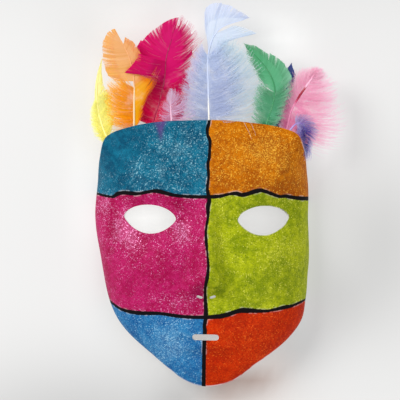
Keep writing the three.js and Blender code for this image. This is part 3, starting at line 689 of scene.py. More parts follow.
# Each feather: its quill's root behind the forehead, where it comes out at the shell's edge and
# how far below the shell, and its path from there. Each lock of barbs has a side, a kind, rows
# of place down the quill, reach and angle to it in degrees, and for some a lift. Fallen barbs
# are paths on the shell.
FEATHERS = {
    "yellow": {
        "root": (-58.1, 67.7), "edge": (-65.7, 75.4), "below": 3.2,
        "path": [(-71, 89.6, 19.5), (-72.8, 102.9, 18.5), (-72.2, 115.5, 18), (-70.1, 126.2, 17.5)],
        "locks": [
            (LEFT, "down", [(0.17, 5, 64), (0.27, 8, 60), (0.4, 7, 46), (0.54, 3, 34)]),
            (RIGHT, "down", [(0.2, 7, 48), (0.32, 13, 56), (0.46, 13, 50), (0.6, 8, 40)]),
            (LEFT, "vane", [(0.54, 3, 34), (0.75, 2.4, 26), (1, 3, -2)]),
            (RIGHT, "vane", [(0.6, 8, 40), (0.78, 5, 26), (1, 3, -2)]),
        ],
    },
    "orange": {
        "root": (-47.5, 70.4), "edge": (-47.9, 84.2), "below": 0,
        "path": [(-47.9, 98.3, 29.8), (-48, 114.2, 30.2), (-51.1, 128.8, 30), (-57.4, 142.1, 28.6)],
        "locks": [
            (LEFT, "down", [
                (0.18, 15, 96), (0.26, 18, 82), (0.36, 20, 68), (0.46, 19, 62), (0.53, 13, 56),
            ]),
            (RIGHT, "ragged vane", [
                (0.18, 4, 60), (0.28, 11, 42), (0.38, 21, 40), (0.47, 25, 42), (0.53, 15, 48),
                (0.58, 6, 50),
            ]),
            (LEFT, "vane", [
                (0.585, 13, 84), (0.66, 17, 87), (0.78, 18, 74), (0.9, 15, 50), (0.96, 11, 32),
                (1, 6.5, 4),
            ]),
            (RIGHT, "vane", [
                (0.56, 9, 58), (0.61, 5.5, 62), (0.66, 6.5, 64), (0.75, 9, 60), (0.85, 8, 52),
                (0.93, 5, 40),
            ]),
        ],
    },
    "magenta": {
        "root": (-37.8, 70.4), "edge": (-35.5, 85.5), "below": 5.4,
        "path": [(-31.1, 99.6, 22.4), (-27.8, 114.2, 22.6), (-26.5, 128.8, 22.8), (-22.2, 143.4, 22.6)],
        "locks": [
            (LEFT, "down", [
                (0.18, 11, 78), (0.28, 14, 68), (0.4, 16, 64), (0.57, 18, 76), (0.64, 12, 84),
            ]),
            (LEFT, "vane", [
                (0.57, 10, 70), (0.61, 19, 86), (0.66, 27, 94), (0.69, 23, 87), (0.73, 19, 80),
                (0.77, 19, 82),
            ], 10),
            (LEFT, "vane", [(0.752, 22, 91), (0.82, 20, 70)]),
            (LEFT, "vane", [(0.812, 19.5, 71), (0.9, 15, 50), (1, 13, -2)]),
            (RIGHT, "down", [(0.18, 14, 84), (0.28, 19, 72), (0.4, 20, 60), (0.52, 19, 56)]),
            (RIGHT, "ragged vane", [
                (0.52, 20, 56), (0.66, 26, 54), (0.8, 26, 46), (0.91, 21, 32), (1, 14, -2),
            ]),
        ],
    },
    "blush": {
        "root": (-22.5, 73), "edge": (-23, 87), "below": 0,
        "path": [(-23.4, 91.6, 27.6), (-23.6, 96.3, 27.8), (-23.6, 100.3, 27.8), (-23.6, 104.2, 27.4)],
        "locks": [
            (LEFT, "down", [(0.18, 9, 80), (0.4, 8, 56), (0.7, 5, 40), (1, 4, -2)]),
            (RIGHT, "down", [(0.18, 17, 84), (0.4, 15, 64), (0.7, 10, 46), (1, 4, -2)]),
        ],
    },
    "sky": {
        "root": (2.6, 70.4), "edge": (1.9, 87.6), "below": 2.2,
        "path": [(1.4, 109.6, 25.2), (1.5, 131.5, 25.8), (9, 147.8, 26.2), (28.2, 155.1, 25)],
        "locks": [
            (LEFT, "down", [
                (0.18, 19, 88), (0.27, 20, 70), (0.38, 18, 58), (0.5, 13, 48), (0.58, 9, 40),
            ]),
            (RIGHT, "down", [
                (0.2, 29, 76), (0.25, 37, 70), (0.33, 41, 62), (0.42, 37, 55), (0.52, 25, 51),
                (0.59, 14, 48),
            ], 4),
            (LEFT, "vane", [(0.6, 18, 14), (0.63, 25, 20), (0.67, 26.6, 18), (0.714, 24.6, 11)]),
            (LEFT, "vane", [(0.706, 24, 12), (0.8, 17, 20), (0.9, 10, 18), (1, 1.5, -2)]),
            (RIGHT, "vane", [
                (0.6, 6, 60), (0.64, 14, 58), (0.68, 22, 58), (0.71, 30, 58), (0.735, 22, 48),
                (0.76, 12, 30),
            ]),
        ],
        "fallen": [
            [(23, 90), (27, 87.2), (30, 84.4), (31.6, 80.6), (33, 76.6)],
            [(26, 91), (24.6, 87.6), (25.9, 84), (29, 77.8), (30.3, 74.6)],
        ],
    },
    "green": {
        "root": (38.2, 70.4), "edge": (40.2, 84.6), "below": 0,
        "path": [(44.4, 98.3, 28.6), (45.2, 110.2, 28.8), (39.5, 122.2, 28.8), (27.6, 135.5, 28)],
        "locks": [
            (LEFT, "down", [(0.18, 11, 80), (0.28, 14, 70), (0.4, 15, 62), (0.52, 12, 58)]),
            (LEFT, "ragged vane", [(0.52, 12, 56), (0.68, 11, 52), (0.85, 9, 44), (1, 4, -2)]),
            (RIGHT, "down", [(0.18, 8, 74), (0.3, 10, 58), (0.42, 13, 50), (0.52, 15, 48)]),
            (RIGHT, "vane", [(0.52, 15, 48), (0.66, 14, 50), (0.8, 10, 50)]),
            (RIGHT, "vane", [(0.79, 9.5, 46), (0.9, 8, 34), (1, 4, -2)]),
        ],
    },
    "navy": {
        "root": (46.8, 69.1), "edge": (48.1, 82.3), "below": 7,
        "path": [(50.8, 95.6, 21.2), (52.8, 106.2, 21.6), (54.8, 114.9, 22), (56.4, 122.8, 22)],
        "locks": [
            (LEFT, "down", [(0.2, 5, 70), (0.35, 6, 50), (0.5, 7, 40)]),
            (RIGHT, "down", [(0.24, 3, 56), (0.35, 6, 50), (0.5, 7, 40)]),
            (LEFT, "vane", [(0.5, 7, 40), (0.75, 7, 36), (1, 3, -2)]),
            (RIGHT, "vane", [(0.5, 7, 40), (0.75, 7, 36), (1, 3, -2)]),
        ],
    },
    "pink": {
        "root": (50.1, 69.7), "edge": (53.7, 80.7), "below": 5.4,
        "path": [(56.5, 93, 23.4), (61, 101.6, 24.4), (66.5, 109.6, 25), (72, 117.5, 25.4)],
        "locks": [
            (LEFT, "down", [(0.2, 6, 64), (0.34, 10, 54), (0.5, 15, 48), (0.75, 14, 40), (1, 6, -2)]),
            (RIGHT, "down", [
                (0.2, 27, 98), (0.3, 36, 90), (0.42, 33, 78), (0.58, 27, 62), (0.75, 20, 50),
                (0.88, 13, 38), (1, 5, -2),
            ]),
        ],
    },
    "violet": {
        "root": (48.8, 68.4), "edge": (55.4, 79.7), "below": 1,
        "path": [(59.6, 84.6, 26.4), (63.8, 84.8, 26), (66.4, 78.6, 24), (66, 69.4, 21)],
        "locks": [
            (LEFT, "down", [(0.4, 5, 56), (0.55, 8, 66), (0.68, 9, 56), (0.84, 8, 38), (1, 10, 4)]),
            (RIGHT, "down", [(0.42, 5, 84), (0.55, 7, 74), (0.7, 7, 52), (0.84, 5, 30), (1, 8, 4)]),
        ],
    },
}
# Each dye: the barbs' colours from the root of the feather to its tip, the colour of the light
# through them, the colours at the ends of the left and the right barbs, and the quill's colours
# from root to tip. Core is how far out the down stays dense, pale how much of it is pale
# patches, and pale_down how far up the feather the ends of the barbs take their own colour.
# Layers counts the layers of down. Wisps and strands are how many stray barbs the down and the
# vane have, wild is how much the down sways, and stout how thick the quill's tip is.
PLAIN_DYE = {"layers": 3, "wisps": 1, "wild": 1, "stout": 1, "pale_down": 0.64, "strands": 0}
DYES = {
    "yellow": {
        "body": [(0.15, (255, 244, 130)), (0.5, (255, 255, 176)), (1, (255, 255, 190))],
        "through": (255, 254, 160), "ends": ((255, 255, 170), (255, 248, 130)),
        "quill": [(0, (255, 248, 150)), (1, (255, 252, 170))],
        "core": 0.75, "pale": 0.1,
    },
    "orange": {
        "body": [
            (0.15, (252, 166, 6)), (0.3, (252, 176, 14)), (0.5, (250, 178, 44)),
            (0.6, (238, 180, 122)), (0.85, (232, 172, 130)),
        ],
        "through": (252, 184, 34), "ends": ((254, 198, 30), (250, 118, 0)),
        "quill": [(0.5, (248, 220, 178)), (0.58, (238, 176, 118))],
        "core": 0.7, "pale": 0.36, "wild": 1.3,
    },
    "magenta": {
        "body": [
            (0.1, (250, 0, 104)), (0.3, (246, 0, 102)), (0.6, (208, 10, 104)), (1, (204, 30, 112)),
        ],
        "through": (224, 8, 96), "ends": ((206, 2, 88), (222, 40, 122)),
        "quill": [(0, (196, 2, 76)), (1, (158, 0, 74))],
        "core": 1.3, "pale": 0.2, "strands": 0.6,
    },
    "blush": {
        "body": [(0.1, (226, 160, 204)), (0.5, (226, 190, 224)), (1, (240, 222, 242))],
        "through": (230, 190, 222), "ends": ((226, 170, 212), (220, 202, 236)),
        "quill": [(0, (240, 190, 214)), (1, (240, 190, 214))],
        "core": -1, "pale": 0.3, "layers": 1, "wisps": 3.5, "pale_down": 2,
    },
    "sky": {
        "body": [
            (0.15, (190, 200, 226)), (0.32, (196, 206, 232)), (0.5, (212, 224, 246)),
            (0.7, (224, 236, 252)), (1, (214, 226, 248)),
        ],
        "through": (214, 223, 245), "ends": ((222, 212, 236), (208, 234, 230)),
        "quill": [(0.28, (250, 246, 238)), (0.36, (206, 218, 244))],
        "core": 0.5, "pale": 0.45, "wisps": 3, "wild": 1.4,
    },
    "green": {
        "body": [
            (0.15, (54, 152, 102)), (0.28, (114, 202, 160)), (0.6, (102, 182, 136)),
            (1, (76, 152, 104)),
        ],
        "through": (96, 186, 132), "ends": ((150, 206, 180), (176, 226, 198)),
        "quill": [(0, (52, 146, 94)), (1, (60, 146, 94))],
        "core": 0.6, "pale": 0.2, "wild": 1.3,
    },
    "navy": {
        "body": [(0.1, (62, 76, 138)), (0.6, (70, 86, 156)), (1, (90, 104, 170))],
        "through": (76, 88, 156), "ends": ((56, 70, 138), (70, 84, 152)),
        "quill": [(0, (70, 80, 140)), (1, (60, 70, 136))],
        "core": 0.8, "pale": 0, "layers": 2,
    },
    "pink": {
        "body": [
            (0.1, (246, 116, 184)), (0.4, (246, 150, 198)), (0.7, (250, 190, 218)),
            (1, (252, 204, 228)),
        ],
        "through": (251, 184, 216), "ends": ((250, 206, 222), (255, 232, 242)),
        "quill": [
            (0.5, (246, 150, 190)), (0.56, (214, 60, 116)), (0.61, (160, 4, 50)), (0.76, (168, 6, 54)),
            (0.81, (250, 190, 216)),
        ],
        "core": -0.4, "pale": 0.45, "wisps": 6, "wild": 1.7, "stout": 4, "pale_down": 2,
    },
    "violet": {
        "body": [
            (0.42, (208, 186, 232)), (0.6, (172, 150, 214)), (0.72, (104, 84, 184)),
            (0.82, (58, 44, 146)), (0.91, (70, 88, 178)), (1, (150, 176, 226)),
        ],
        "through": (130, 112, 196), "ends": ((222, 212, 242), (150, 140, 214)),
        "quill": [(0, (214, 190, 232)), (0.5, (150, 120, 200)), (0.7, (76, 60, 160))],
        "core": 0.1, "pale": 0.3, "layers": 2, "wisps": 4, "pale_down": 2,
    },
}
QUILL_SLIMMING = 0.9
QUILL_END = 0.97
QUILL_STEPS = 60
QUILL_SIDES = 8
SPINE_SHARES = np.linspace(0, 1, 400)
TANGENT_STEP = 0.004
CAMBER = 0.07
ARCH = (1.6, 2.2)
WEB_SPACING = 0.38
WEB_STEPS = 14
WEB_MEASURES = 200
WEB_BOW = 0.1
FULL_BOW_TURN = 0.6
MOST_SPLITS = 60
SPLIT_IN_TO = (0.65, 1)
COVER_FADE = {"past": 0.22, "over": 0.5, "power": 1.3}
# The closed part of a lock: its share of the reach, how loose its edge is, the millimetres
# between its splits, how far its barbs pull together, and how far out it stays dense. The
# down's own depth is its dye's core.
WEBS = {
    "vane": {"reach": 1, "loose": 0.3, "splits": (11, 26), "pull": 0.02, "closed": 1.3},
    "ragged vane": {"reach": 0.84, "loose": 0.3, "splits": (11, 26), "pull": 0.02, "closed": 1},
    "down": {"reach": 1, "loose": 1, "splits": (2.5, 6), "pull": 0.2},
}
# Single barbs: millimetres between them, half width, steps, bow, sway, width of a clump, tone,
# the share of the way out at which they start, and whether they have barbules.
HAIR = {
    "spacing": 0.4, "half": 0.08, "steps": 10, "bend": 0.14, "sway": 1, "clump": 3.2,
    "tone": 0.3, "first": 0, "barbules": True,
}
FRINGE = {
    "spacing": 0.5, "half": 0.11, "steps": 6, "bend": 0.1, "sway": 0.2, "clump": 2.2,
    "tone": 0.3, "first": 0.5, "barbules": False,
}
RAGGED = {
    **FRINGE, "spacing": 0.36, "steps": 8, "bend": 0.12, "sway": 0.55, "clump": 2.4, "tone": -0.5,
}
STRAY = {
    "spacing": 1.3, "half": 0.1, "steps": 14, "bend": 0.24, "sway": 1.3, "clump": 1,
    "tone": 1.7, "first": 0, "barbules": False,
}
VANE_STRAY = {**STRAY, "first": 0.2}
DOWN_LAYERS = (-1, 0.3, 1)
FRINGE_LAYER = 0.3
STRAY_LAYER = 1.6
VANE_STRAY_LAYER = 1.2
BARBULE_STEP = 0.75
BARBULE_LENGTH = 1.9
BARBULE_HALF = 0.08
BARBULE_ENDS = (0.05, 0.98)
BARBULE_SLANT = (0.8, 0.65)
LONGEST_HAIR = 1.04
FULL_SWING_REACH = 22
SWING = 0.7
HAIR_THINNING = 0.65
STRAND_THINNING = 0.6
FALLEN = {"clearance": 0.7, "steps": 24, "half": 0.09, "place": 0.6, "tone": 2.4}


def spine_of(feather):
    (root_x, root_y), (edge_x, edge_y) = feather["root"], feather["edge"]
    sunk = WALL + GLUE_GAP + QUILL_RADIUS
    root_z = shell_height(root_x, root_y) - sunk - feather["below"] * ROOT_DROP_SHARE
    edge_z = shell_height(edge_x, edge_y) - sunk - feather["below"]
    return [(root_x, root_y, root_z), (edge_x, edge_y, edge_z), *feather["path"]]


def wander(rng, along, pitch):
    """Random values from -1 to 1 that change smoothly over each pitch of the length.

    Where barbs grow, what they are multiplied by is a given share, length or angle.
    """
    knots = np.arange(along.min() - pitch, along.max() + 2 * pitch, pitch)
    return np.interp(along, knots, rng.uniform(-1, 1, len(knots)))


def measured(spine, rows):
    """Lengths along a quill at its even shares, and those where a lock starts and stops."""
    length = length_along(on_curve(spine, SPINE_SHARES))
    return length, np.interp([rows[0][0], rows[-1][0]], SPINE_SHARES, length)


def lock_frame(spine, side, rows, down, length):
    """At places down the quill: the barbs' roots, directions, reaches and angles."""
    at = np.interp(down, length, SPINE_SHARES)
    along = on_curve(spine, at + TANGENT_STEP) - on_curve(spine, at - TANGENT_STEP)
    along = unit(along * (1, 1, 0))
    across = np.stack([along[:, 1], -along[:, 0], np.zeros(len(at))], axis=-1) * side
    places, reaches, angles = np.array(rows, float).T
    reach, angle = np.interp(at, places, reaches), np.interp(at, places, angles)
    return at, on_curve(spine, at), along, across, reach, angle


def barb_tips(root, along, across, reach, angle):
    angle = np.radians(angle)[:, None]
    return root + reach[:, None] * (along * np.cos(angle) + across * np.sin(angle))


def arched(root, tip, bend, side, u, reach):
    """Curves from roots to tips, bowed outwards and arched up."""
    chord = (tip - root)[:, None]
    outward = np.stack([chord[..., 1], -chord[..., 0], 0 * chord[..., 0]], axis=-1) * side
    points = root[:, None] + chord * u[..., None] + outward * (bend * 2 * u * (1 - u))[..., None]
    points[..., 2] += CAMBER * reach[:, None] * (ARCH[0] * u - ARCH[1] * u**2)
    return points, outward / np.maximum(1e-6, np.linalg.norm(outward, axis=-1, keepdims=True))


def point_fields(at, reach, tone, cover, side):
    """For each point: its place down the quill and along the barb, tone, cover and side."""
    return np.stack(np.broadcast_arrays(at, reach, tone, cover, side), axis=-1).reshape(-1, 5)


def grow_web(spine, side, web, rows, rng):
    """The closed part of one lock, where its barbs cling together: one ragged sheet."""
    length, ends = measured(spine, rows)
    down = np.linspace(*ends, WEB_MEASURES)
    _, root, *way = lock_frame(spine, side, rows, down, length)
    run = (length_along(root) + length_along(barb_tips(root, *way))) / 2
    count = max(4, int(run[-1] / WEB_SPACING))
    down = np.interp(np.linspace(0, run[-1], count), run, down)
    at, root, along, across, reach, angle = lock_frame(spine, side, rows, down, length)
    uneven = 0.07 * wander(rng, down, 1.4) + 0.05 * wander(rng, down, 5)
    reach = reach * web["reach"] * (1 + web["loose"] * uneven)
    angle = angle + web["loose"] * 6 * wander(rng, down, 5)
    tip = barb_tips(root, along, across, reach, angle)
    splits = np.cumsum(rng.uniform(*web["splits"], MOST_SPLITS)) - 2
    clump = np.searchsorted(splits, np.linspace(0, run[-1], count))
    for one in np.unique(clump):
        members = clump == one
        tip[members] += (tip[members].mean(axis=0) - tip[members]) * rng.uniform(0, web["pull"])
    u = np.linspace(0, 1, WEB_STEPS + 1)[None, :]
    steepness = np.clip(np.radians(angle)[:, None] / FULL_BOW_TURN, 0, 1)
    bend = WEB_BOW * (1 + 0.4 * wander(rng, down, 6))[:, None] * steepness
    points, _ = arched(root, tip, bend, side, u, reach)
    points[..., 2] += (rng.normal(0, 0.1, (count, 1)) + 0.25 * wander(rng, down, 2)[:, None]) * u
    index = np.arange(count * (WEB_STEPS + 1)).reshape(count, -1)
    faces = np.stack([index[:-1, :-1], index[:-1, 1:], index[1:, 1:], index[1:, :-1]], axis=-1)
    whole = clump[:-1] == clump[1:]
    depth = rng.uniform(*SPLIT_IN_TO, count - 1)
    faces = faces[whole[:, None] | (u[:, :-1] < depth[:, None])]
    tone = rng.normal(0, 0.45, count) + 0.8 * wander(rng, down, 1.6) + 0.5 * wander(rng, down, 5)
    closed = web["closed"] * (1 + 0.25 * wander(rng, down, 2.4) + rng.normal(0, 0.12, count))
    left = (closed[:, None] + COVER_FADE["past"] - u) / COVER_FADE["over"]
    cover = np.clip(left, 0, 1) ** COVER_FADE["power"]
    return points.reshape(-1, 3), faces, point_fields(at[:, None], u, tone[:, None], cover, side)


def strips(middles, halves):
    """Narrow flat strips along lines of points, half a width to each side."""
    points = np.stack([middles - halves, middles + halves], axis=2).reshape(-1, 3)
    count, steps = middles.shape[:2]
    base = (np.arange(count)[:, None] * steps + np.arange(steps - 1)) * 2
    return points, np.stack([base, base + 1, base + 3, base + 2], axis=-1).reshape(-1, 4)


def grow_hairs(spine, side, hair, rows, layer, rng, crowd=1):
    """Loose single barbs of one lock, from a share of the way out to past its edge."""
    length, (start, stop) = measured(spine, rows)
    count = max(3, int((stop - start) / hair["spacing"] * crowd))
    down = start + (np.arange(count) + rng.uniform(0, 1, count)) / count * (stop - start)
    at, root, along, across, reach, angle = lock_frame(spine, side, rows, down, length)
    wild = hair["sway"]
    longest = LONGEST_HAIR + 0.09 * wild * wander(rng, down, 1.8)
    reach = reach * (longest - 0.3 * wild * rng.uniform(0, 1, count) ** 3)
    angle = angle + wild * (12 * wander(rng, down, 2.4) + rng.normal(0, 8, count))
    tip = barb_tips(root, along, across, reach, angle)
    clump = np.floor((down + 1.5 * wander(rng, down, 5)) / hair["clump"])
    for one in np.unique(clump):
        members = clump == one
        tip[members] += (tip[members].mean(axis=0) - tip[members]) * rng.uniform(0, 0.5)
    u = hair["first"] + (1 - hair["first"]) * np.linspace(0, 1, hair["steps"] + 1)[None, :]
    bend = hair["bend"] * (1 + 0.7 * wander(rng, down, 4))[:, None]
    middles, outward = arched(root, tip, bend, side, u, reach)
    wave = rng.uniform(0, 6.3, (count, 1)) + rng.uniform(3, 7, (count, 1)) * u
    swing = wild * np.minimum(1, reach / FULL_SWING_REACH)[:, None]
    middles += outward * (np.sin(wave) * u * swing * SWING)[..., None]
    middles[..., 2] += (rng.normal(0, 0.7, (count, 1)) + np.cos(wave) * 0.6) * u * wild
    middles[..., 2] += layer * (0.25 + 0.5 * u)
    run = unit(np.gradient(middles, axis=1))
    level = np.stack([-run[..., 1], run[..., 0], np.zeros(run.shape[:2])], axis=-1)
    half = hair["half"] * (1 - HAIR_THINNING * u**2)
    points, faces = strips(middles, level * half[..., None])
    tone = (rng.normal(0, 0.6, count) + 0.6 * wander(rng, down, 2) + hair["tone"])[:, None]
    fields = point_fields(at[:, None], u, tone, 1, side)
    hairs = [(points, faces, np.repeat(fields, 2, axis=0))]
    if not hair["barbules"]:
        return hairs

    steps = np.arange(*BARBULE_ENDS, BARBULE_STEP / max(4, reach.mean()))
    row = np.arange(count)[:, None]
    for hand in (-1, 1):
        here = np.clip(steps[None, :] + rng.uniform(-0.015, 0.015, (count, len(steps))), 0, 0.999)
        k = (here * hair["steps"]).astype(int)
        part = (here * hair["steps"] - k)[..., None]
        foot = middles[row, k] * (1 - part) + middles[row, k + 1] * part
        heading, sideways = run[row, k], level[row, k]
        size = BARBULE_LENGTH * (1 - 0.5 * here) * rng.uniform(0.4, 1.3, here.shape)
        slant = heading * BARBULE_SLANT[0] + sideways * hand * BARBULE_SLANT[1]
        end = foot + slant * size[..., None]
        end[..., 2] += rng.normal(0, 0.4, here.shape) * size
        flat = heading * BARBULE_HALF
        corner = np.stack([foot - flat, foot + flat, end], axis=2).reshape(-1, 3)
        fields = point_fields(at[:, None], here, tone + 0.3, 1, side)
        triangle = np.arange(len(corner)).reshape(-1, 3)
        hairs.append((corner, triangle, np.repeat(fields, 3, axis=0)))
    return hairs


def fallen_barb(path):
    """A loose barb that lies on the shell, as a strip that thins out towards its end."""
    share = np.linspace(0, 1, FALLEN["steps"])
    line = on_curve(np.insert(np.array(path, float), 2, 0, axis=1), share)
    line[:, 2] = shell_height(line[:, 0], line[:, 1]) + FALLEN["clearance"]
    run = np.gradient(line, axis=0)
    level = unit(np.stack([-run[:, 1], run[:, 0], 0 * run[:, 0]], axis=-1))
    level *= (FALLEN["half"] * (1 - STRAND_THINNING * share))[:, None]
    fields = point_fields(FALLEN["place"], share, FALLEN["tone"], 1, 1)
    return *strips(line[None], level[None]), np.repeat(fields, 2, axis=0)


def joined(parts):
    """Several sets of points, faces and fields as one."""
    first = np.cumsum([0] + [len(part[0]) for part in parts])
    faces = [part[1] + start for part, start in zip(parts, first)]
    return np.concatenate([part[0] for part in parts]), faces, np.concatenate([part[2] for part in parts])


def tube(line, radii):
    """A round tube along a line, closed at both ends."""
    run = unit(np.gradient(line, axis=0))
    level = unit(np.cross(run, (0, 0, 1)))
    upright = np.cross(level, run)
    turn = np.arange(QUILL_SIDES) / QUILL_SIDES * 2 * np.pi
    around = level[:, None] * np.cos(turn)[:, None] + upright[:, None] * np.sin(turn)[:, None]
    points = line[:, None] + around * radii[:, None, None]
    index = np.arange(len(line) * QUILL_SIDES).reshape(len(line), QUILL_SIDES)
    after = np.roll(index, -1, axis=1)
    faces = np.stack([index[:-1], after[:-1], after[1:], index[1:]], axis=-1).reshape(-1, 4)
    return points.reshape(-1, 3), faces, np.stack([index[0, ::-1], index[-1]])


def dyed_along(at, stops):
    """The dye at a place along the feather, from its root at 0 to its tip at 1."""
    stops = [(stop, colour(*tint)) for stop, tint in stops]
    return at.node("ValToRGB", {"stops": stops}, {0: at}, "Color")


def barb_dye(name, dye):
    """Dyed barbs: paler and deeper streaks, and down that thins out to nothing at its edge."""
    material, place = new_material(f"{name}_barbs")
    at, reach, tone = place.kept("barb")
    body = dyed_along(at, dye["body"])
    cover, side, _ = place.kept("veil")
    ends = (side > 0).blend(*(colour(*tint) for tint in dye["ends"]))
    pale_ends = at.ramp(dye["pale_down"], dye["pale_down"] - 0.14)
    dyed = (reach.ramp(0.3, 1) * (0.2 + pale_ends * 0.65)).blend(body, ends)
    patches = place.noise(0.13).ramp(0.48, 0.72) * at.ramp(0.66, 0.54) * dye["pale"]
    pale = patches + tone.ramp(0.6, 2.8) * (0.1 + 0.55 * dye["pale"])
    light = pale.blend(dyed, colour(255, 253, 250))
    deep = light.node("HueSaturation", None, {"Color": light, "Value": 0.82, "Saturation": 1.12})
    shade = (tone.ramp(0.1, -1.8) * 0.8).blend(light, deep)
    values = {"Base Color": shade, "Roughness": 0.7, "Specular IOR Level": 0.1}
    fibre = shade.waxy(shade.node("BsdfPrincipled", None, values), 0.35, colour(*dye["through"]))
    clear = shade.node("BsdfTransparent")
    return set_surface(material, shade.node("MixShader", None, {0: cover, 1: clear, 2: fibre}))


def quill_horn(name, dye):
    material, place = new_material(f"{name}_quill")
    horn = dyed_along(place.kept("barb")[0], dye["quill"])
    streaked = (place.noise(0.3).ramp(0.4, 0.7) * 0.07).blend(horn, colour(250, 244, 232))
    values = {"Base Color": streaked, "Roughness": 0.45, "Specular IOR Level": 0.3}
    return set_surface(material, place.node("BsdfPrincipled", None, values))


for number, (name, feather) in enumerate(FEATHERS.items()):
    rng = np.random.default_rng(100 + number)
    spine = spine_of(feather)
    dye = {**PLAIN_DYE, **DYES[name]}
    down_hair = {**HAIR, "sway": HAIR["sway"] * dye["wild"]}
    parts = []
    for side, kind, rows, *lift in feather["locks"]:
        grown = [grow_web(spine, side, {"closed": dye["core"], **WEBS[kind]}, rows, rng)]
        if kind == "down":
            for layer in DOWN_LAYERS[: dye["layers"]]:
                grown += grow_hairs(spine, side, down_hair, rows, layer, rng)
            grown += grow_hairs(spine, side, STRAY, rows, STRAY_LAYER, rng, dye["wisps"])
        else:
            fringe = FRINGE if kind == "vane" else RAGGED
            grown += grow_hairs(spine, side, fringe, rows, FRINGE_LAYER, rng)
        if kind != "down" and dye["strands"]:
            over = dye["strands"]
            grown += grow_hairs(spine, side, VANE_STRAY, rows, VANE_STRAY_LAYER, rng, over)
        for points, _, fields in grown:
            points[:, 2] += sum(lift) * smooth(fields[:, 1] * 2)
        parts += grown
    parts += [fallen_barb(path) for path in feather.get("fallen", [])]
    quill_share = np.linspace(0, QUILL_END, QUILL_STEPS)
    radii = np.linspace(QUILL_RADIUS, QUILL_TIP_RADIUS * dye["stout"], QUILL_STEPS) * QUILL_SLIMMING
    quill_points, quill_faces, quill_ends = tube(on_curve(spine, quill_share), radii)
    quill_fields = np.repeat(quill_share, QUILL_SIDES)[:, None] * (1, 0, 0, 0, 0)
    barb_faces = sum(len(part[1]) for part in parts)
    parts.append((quill_points, quill_faces, quill_fields))
    points, faces, fields = joined(parts)
    faces.append(quill_ends + len(points) - len(quill_points))
    indices = np.repeat([0, 1], [barb_faces, len(quill_faces) + len(quill_ends)])
    materials = [barb_dye(name, dye), quill_horn(name, dye)]
    made = piece(f"feather_{name}_barbs", points, faces, materials, indices)
    store(made, "barb", fields[:, :3])
    store(made, "veil", fields[:, [3, 4, 4]])
    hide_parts(f"feather_{name}")

# Glue
# Dabs of clear glue from a hot gun, one over each quill's root. Each sank flat against the
# back of the forehead before it set.
GLUE_HALF = (3.4, 4.4, 1.3)
GLUE_FORWARD = 1.5
GLUE_RINGS = 13
GLUE_SIDES = 24
SLOPING_WALL = 1.25 * WALL
glue_parts = []
for number, (name, feather) in enumerate(FEATHERS.items()):
    rng = np.random.default_rng(300 + number)
    root = np.array(spine_of(feather)[0])
    heading = unit(np.array(feather["edge"]) - feather["root"])
    turn = np.arange(GLUE_SIDES) / GLUE_SIDES * 2 * np.pi
    turn, rise = np.meshgrid(turn, np.linspace(0.02, np.pi - 0.02, GLUE_RINGS))
    ball = np.stack([np.cos(turn) * np.sin(rise), np.sin(turn) * np.sin(rise), np.cos(rise)], axis=-1)
    lumpy = 1 + 0.1 * np.sin(3 * turn + rng.uniform(0, 6)) * np.sin(rise)
    ball = ball * lumpy[..., None] * GLUE_HALF
    spun = ball.copy()
    spun[..., 0] = ball[..., 0] * heading[1] + ball[..., 1] * heading[0]
    spun[..., 1] = ball[..., 1] * heading[1] - ball[..., 0] * heading[0]
    dab = root + (*heading * GLUE_FORWARD, 0) + spun
    dab[..., 2] = np.minimum(dab[..., 2], shell_height(dab[..., 0], dab[..., 1]) - SLOPING_WALL)
    index = np.arange(GLUE_RINGS * GLUE_SIDES).reshape(GLUE_RINGS, GLUE_SIDES)
    after = np.roll(index, -1, axis=1)
    faces = np.stack([index[:-1], index[1:], after[1:], after[:-1]], axis=-1).reshape(-1, 4)
    glue_parts.append((dab.reshape(-1, 3), faces, np.zeros((dab.size // 3, 3))))
points, faces, _ = joined(glue_parts)
hot_glue, place = new_material("hot_glue")
cloud = place.noise(0.6, 2).ramp(0.35, 0.65)
clouded = cloud.blend(colour(222, 217, 200), colour(236, 232, 220))
gloss = place.node("BsdfPrincipled", None, {"Base Color": clouded, "Roughness": 0.25})
set_surface(hot_glue, place.waxy(gloss, 0.5, colour(230, 226, 212)))
glue = piece("quill_glue", points, faces, [hot_glue])

# Floor and light
# A white sweep, lit by a window at the upper left. It glows a little, a painted light that keeps it
# bright under the mask and softens its shadows. Soft spots paint shadow and light on it, and warm bounce
# light near the chin and under the mouth: middle, half width, half height and strength.
FLOOR_HALF = 1500
FLOOR_LINES = 101
FLOOR_CROWDING = 3.2
FLOOR_GLOW = 0.4
PLAIN_PAPER = (0.42, 0.42, 0.42)
PAINTED_WARM_BOUNCE = (0.46, 0.32, 0.27)
LIGHTS_FACE = Vector((0, 0, 0.03))
ROOM_LIGHT = 0.58
# Painted shadow beside and below the mask and under the chin, and painted light under the eye holes and
# where the mask and feathers cast shade.
FLOOR_PAINTED_SHADOW_AND_LIGHT = [
    (-47, -17, 24, 16, 0.4), (28, -18, 24, 16, 0.2), (112, -34, 40, 62, -0.2),
    (84, -76, 22, 28, -0.1), (-90, -158, 100, 44, -0.25), (-24, -140, 20, 20, -0.15),
    (4, -130, 26, 7, -0.2), (6, -130, 12, 6, -0.2), (26, -125, 12, 9, -0.15),
    (16, -144, 26, 8, 0.15), (0, 170, 260, 50, -0.1), (54, -104, 22, 20, -0.1),
    (-86, 12, 14, 70, 0.1), (76, 40, 12, 26, 0.2), (40, 99, 20, 18, 0.2),
    (-18, 106, 12, 24, 0.15), (-75, 84, 18, 24, 0.05), (-52, 116, 20, 14, 0.1),
]
# Painted warm bounce light off the orange-red chin, near the chin and under the mouth.
WARM_BOUNCE_SPOTS = [
    (6, -130, 12, 8, 1), (26, -126, 15, 11, 0.7), (40, -114, 13, 14, 0.4), (26, -138, 34, 16, 0.25),
    (-9, -97, 12, 5, 0.7),
]
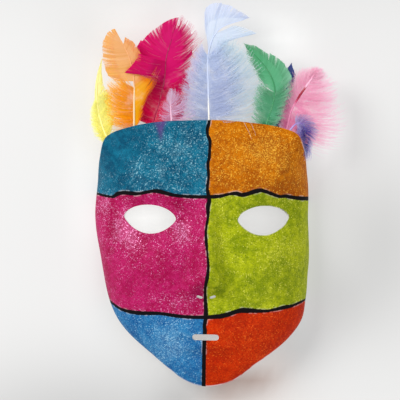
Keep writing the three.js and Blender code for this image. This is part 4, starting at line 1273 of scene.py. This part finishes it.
steps = np.sinh(np.linspace(-FLOOR_CROWDING, FLOOR_CROWDING, FLOOR_LINES))
steps = steps / np.sinh(FLOOR_CROWDING) * FLOOR_HALF
floor_x, floor_y = np.meshgrid(steps, steps)
index = np.arange(FLOOR_LINES * FLOOR_LINES).reshape(FLOOR_LINES, FLOOR_LINES)
faces = np.stack([index[:-1, :-1], index[:-1, 1:], index[1:, 1:], index[1:, :-1]], axis=-1)
points = np.stack([floor_x, floor_y, 0 * floor_x], axis=-1).reshape(-1, 3)
floor = drawn("floor", points, [faces.reshape(-1, 4)], [])
shades = soft_spots(FLOOR_PAINTED_SHADOW_AND_LIGHT, floor_x, floor_y).ravel()
bounce_warmth = soft_spots(WARM_BOUNCE_SPOTS, floor_x, floor_y).ravel()
store(floor, "floor_shade", np.stack([shades, bounce_warmth, bounce_warmth], axis=-1))
paper, place = new_material("white_paper_with_painted_light")
shade, bounce_warmth, _ = place.kept("floor_shade")
# Painted light: the glow, raised and lowered by the painted light and shadow of the spots.
shade = shade.sum("MAXIMUM", shade + FLOOR_GLOW, 0.02)
lit = place.node("VectorMath", {"operation": "SCALE"}, {0: (1, 1, 0.99), "Scale": shade})
# The paper takes the painted warm bounce light's tint where the warm spots lie.
paper_with_bounce = bounce_warmth.blend(PLAIN_PAPER, PAINTED_WARM_BOUNCE)
matt = {"Base Color": paper_with_bounce, "Roughness": 0.9, "Specular IOR Level": 0}
glowing = {"Emission Color": lit, "Emission Strength": 1}
set_surface(paper, place.node("BsdfPrincipled", None, matt | glowing))
floor.data.materials.append(paper)


def area_light(name, place, size, watts, tint):
    light = bpy.data.lights.new(name, "AREA")
    light.shape = "DISK"
    light.size = size
    light.energy = watts
    light.color = tint
    made = in_scene(name, light)
    made.location = place
    made.rotation_euler = (LIGHTS_FACE - Vector(place)).to_track_quat("-Z", "Y").to_euler()


area_light("window", (-1.2, 0.75, 1.25), 0.9, 24, (1, 0.99, 0.97))
area_light("bounce", (1.1, -0.6, 1.3), 1.2, 8, (0.98, 0.99, 1))
world = bpy.data.worlds.new("room")
world.use_nodes = True
background = world.node_tree.nodes["Background"].inputs
background["Color"].default_value = (1, 1, 1, 1)
background["Strength"].default_value = ROOM_LIGHT
bpy.context.scene.world = world
bpy.context.scene.view_settings.view_transform = "Standard"
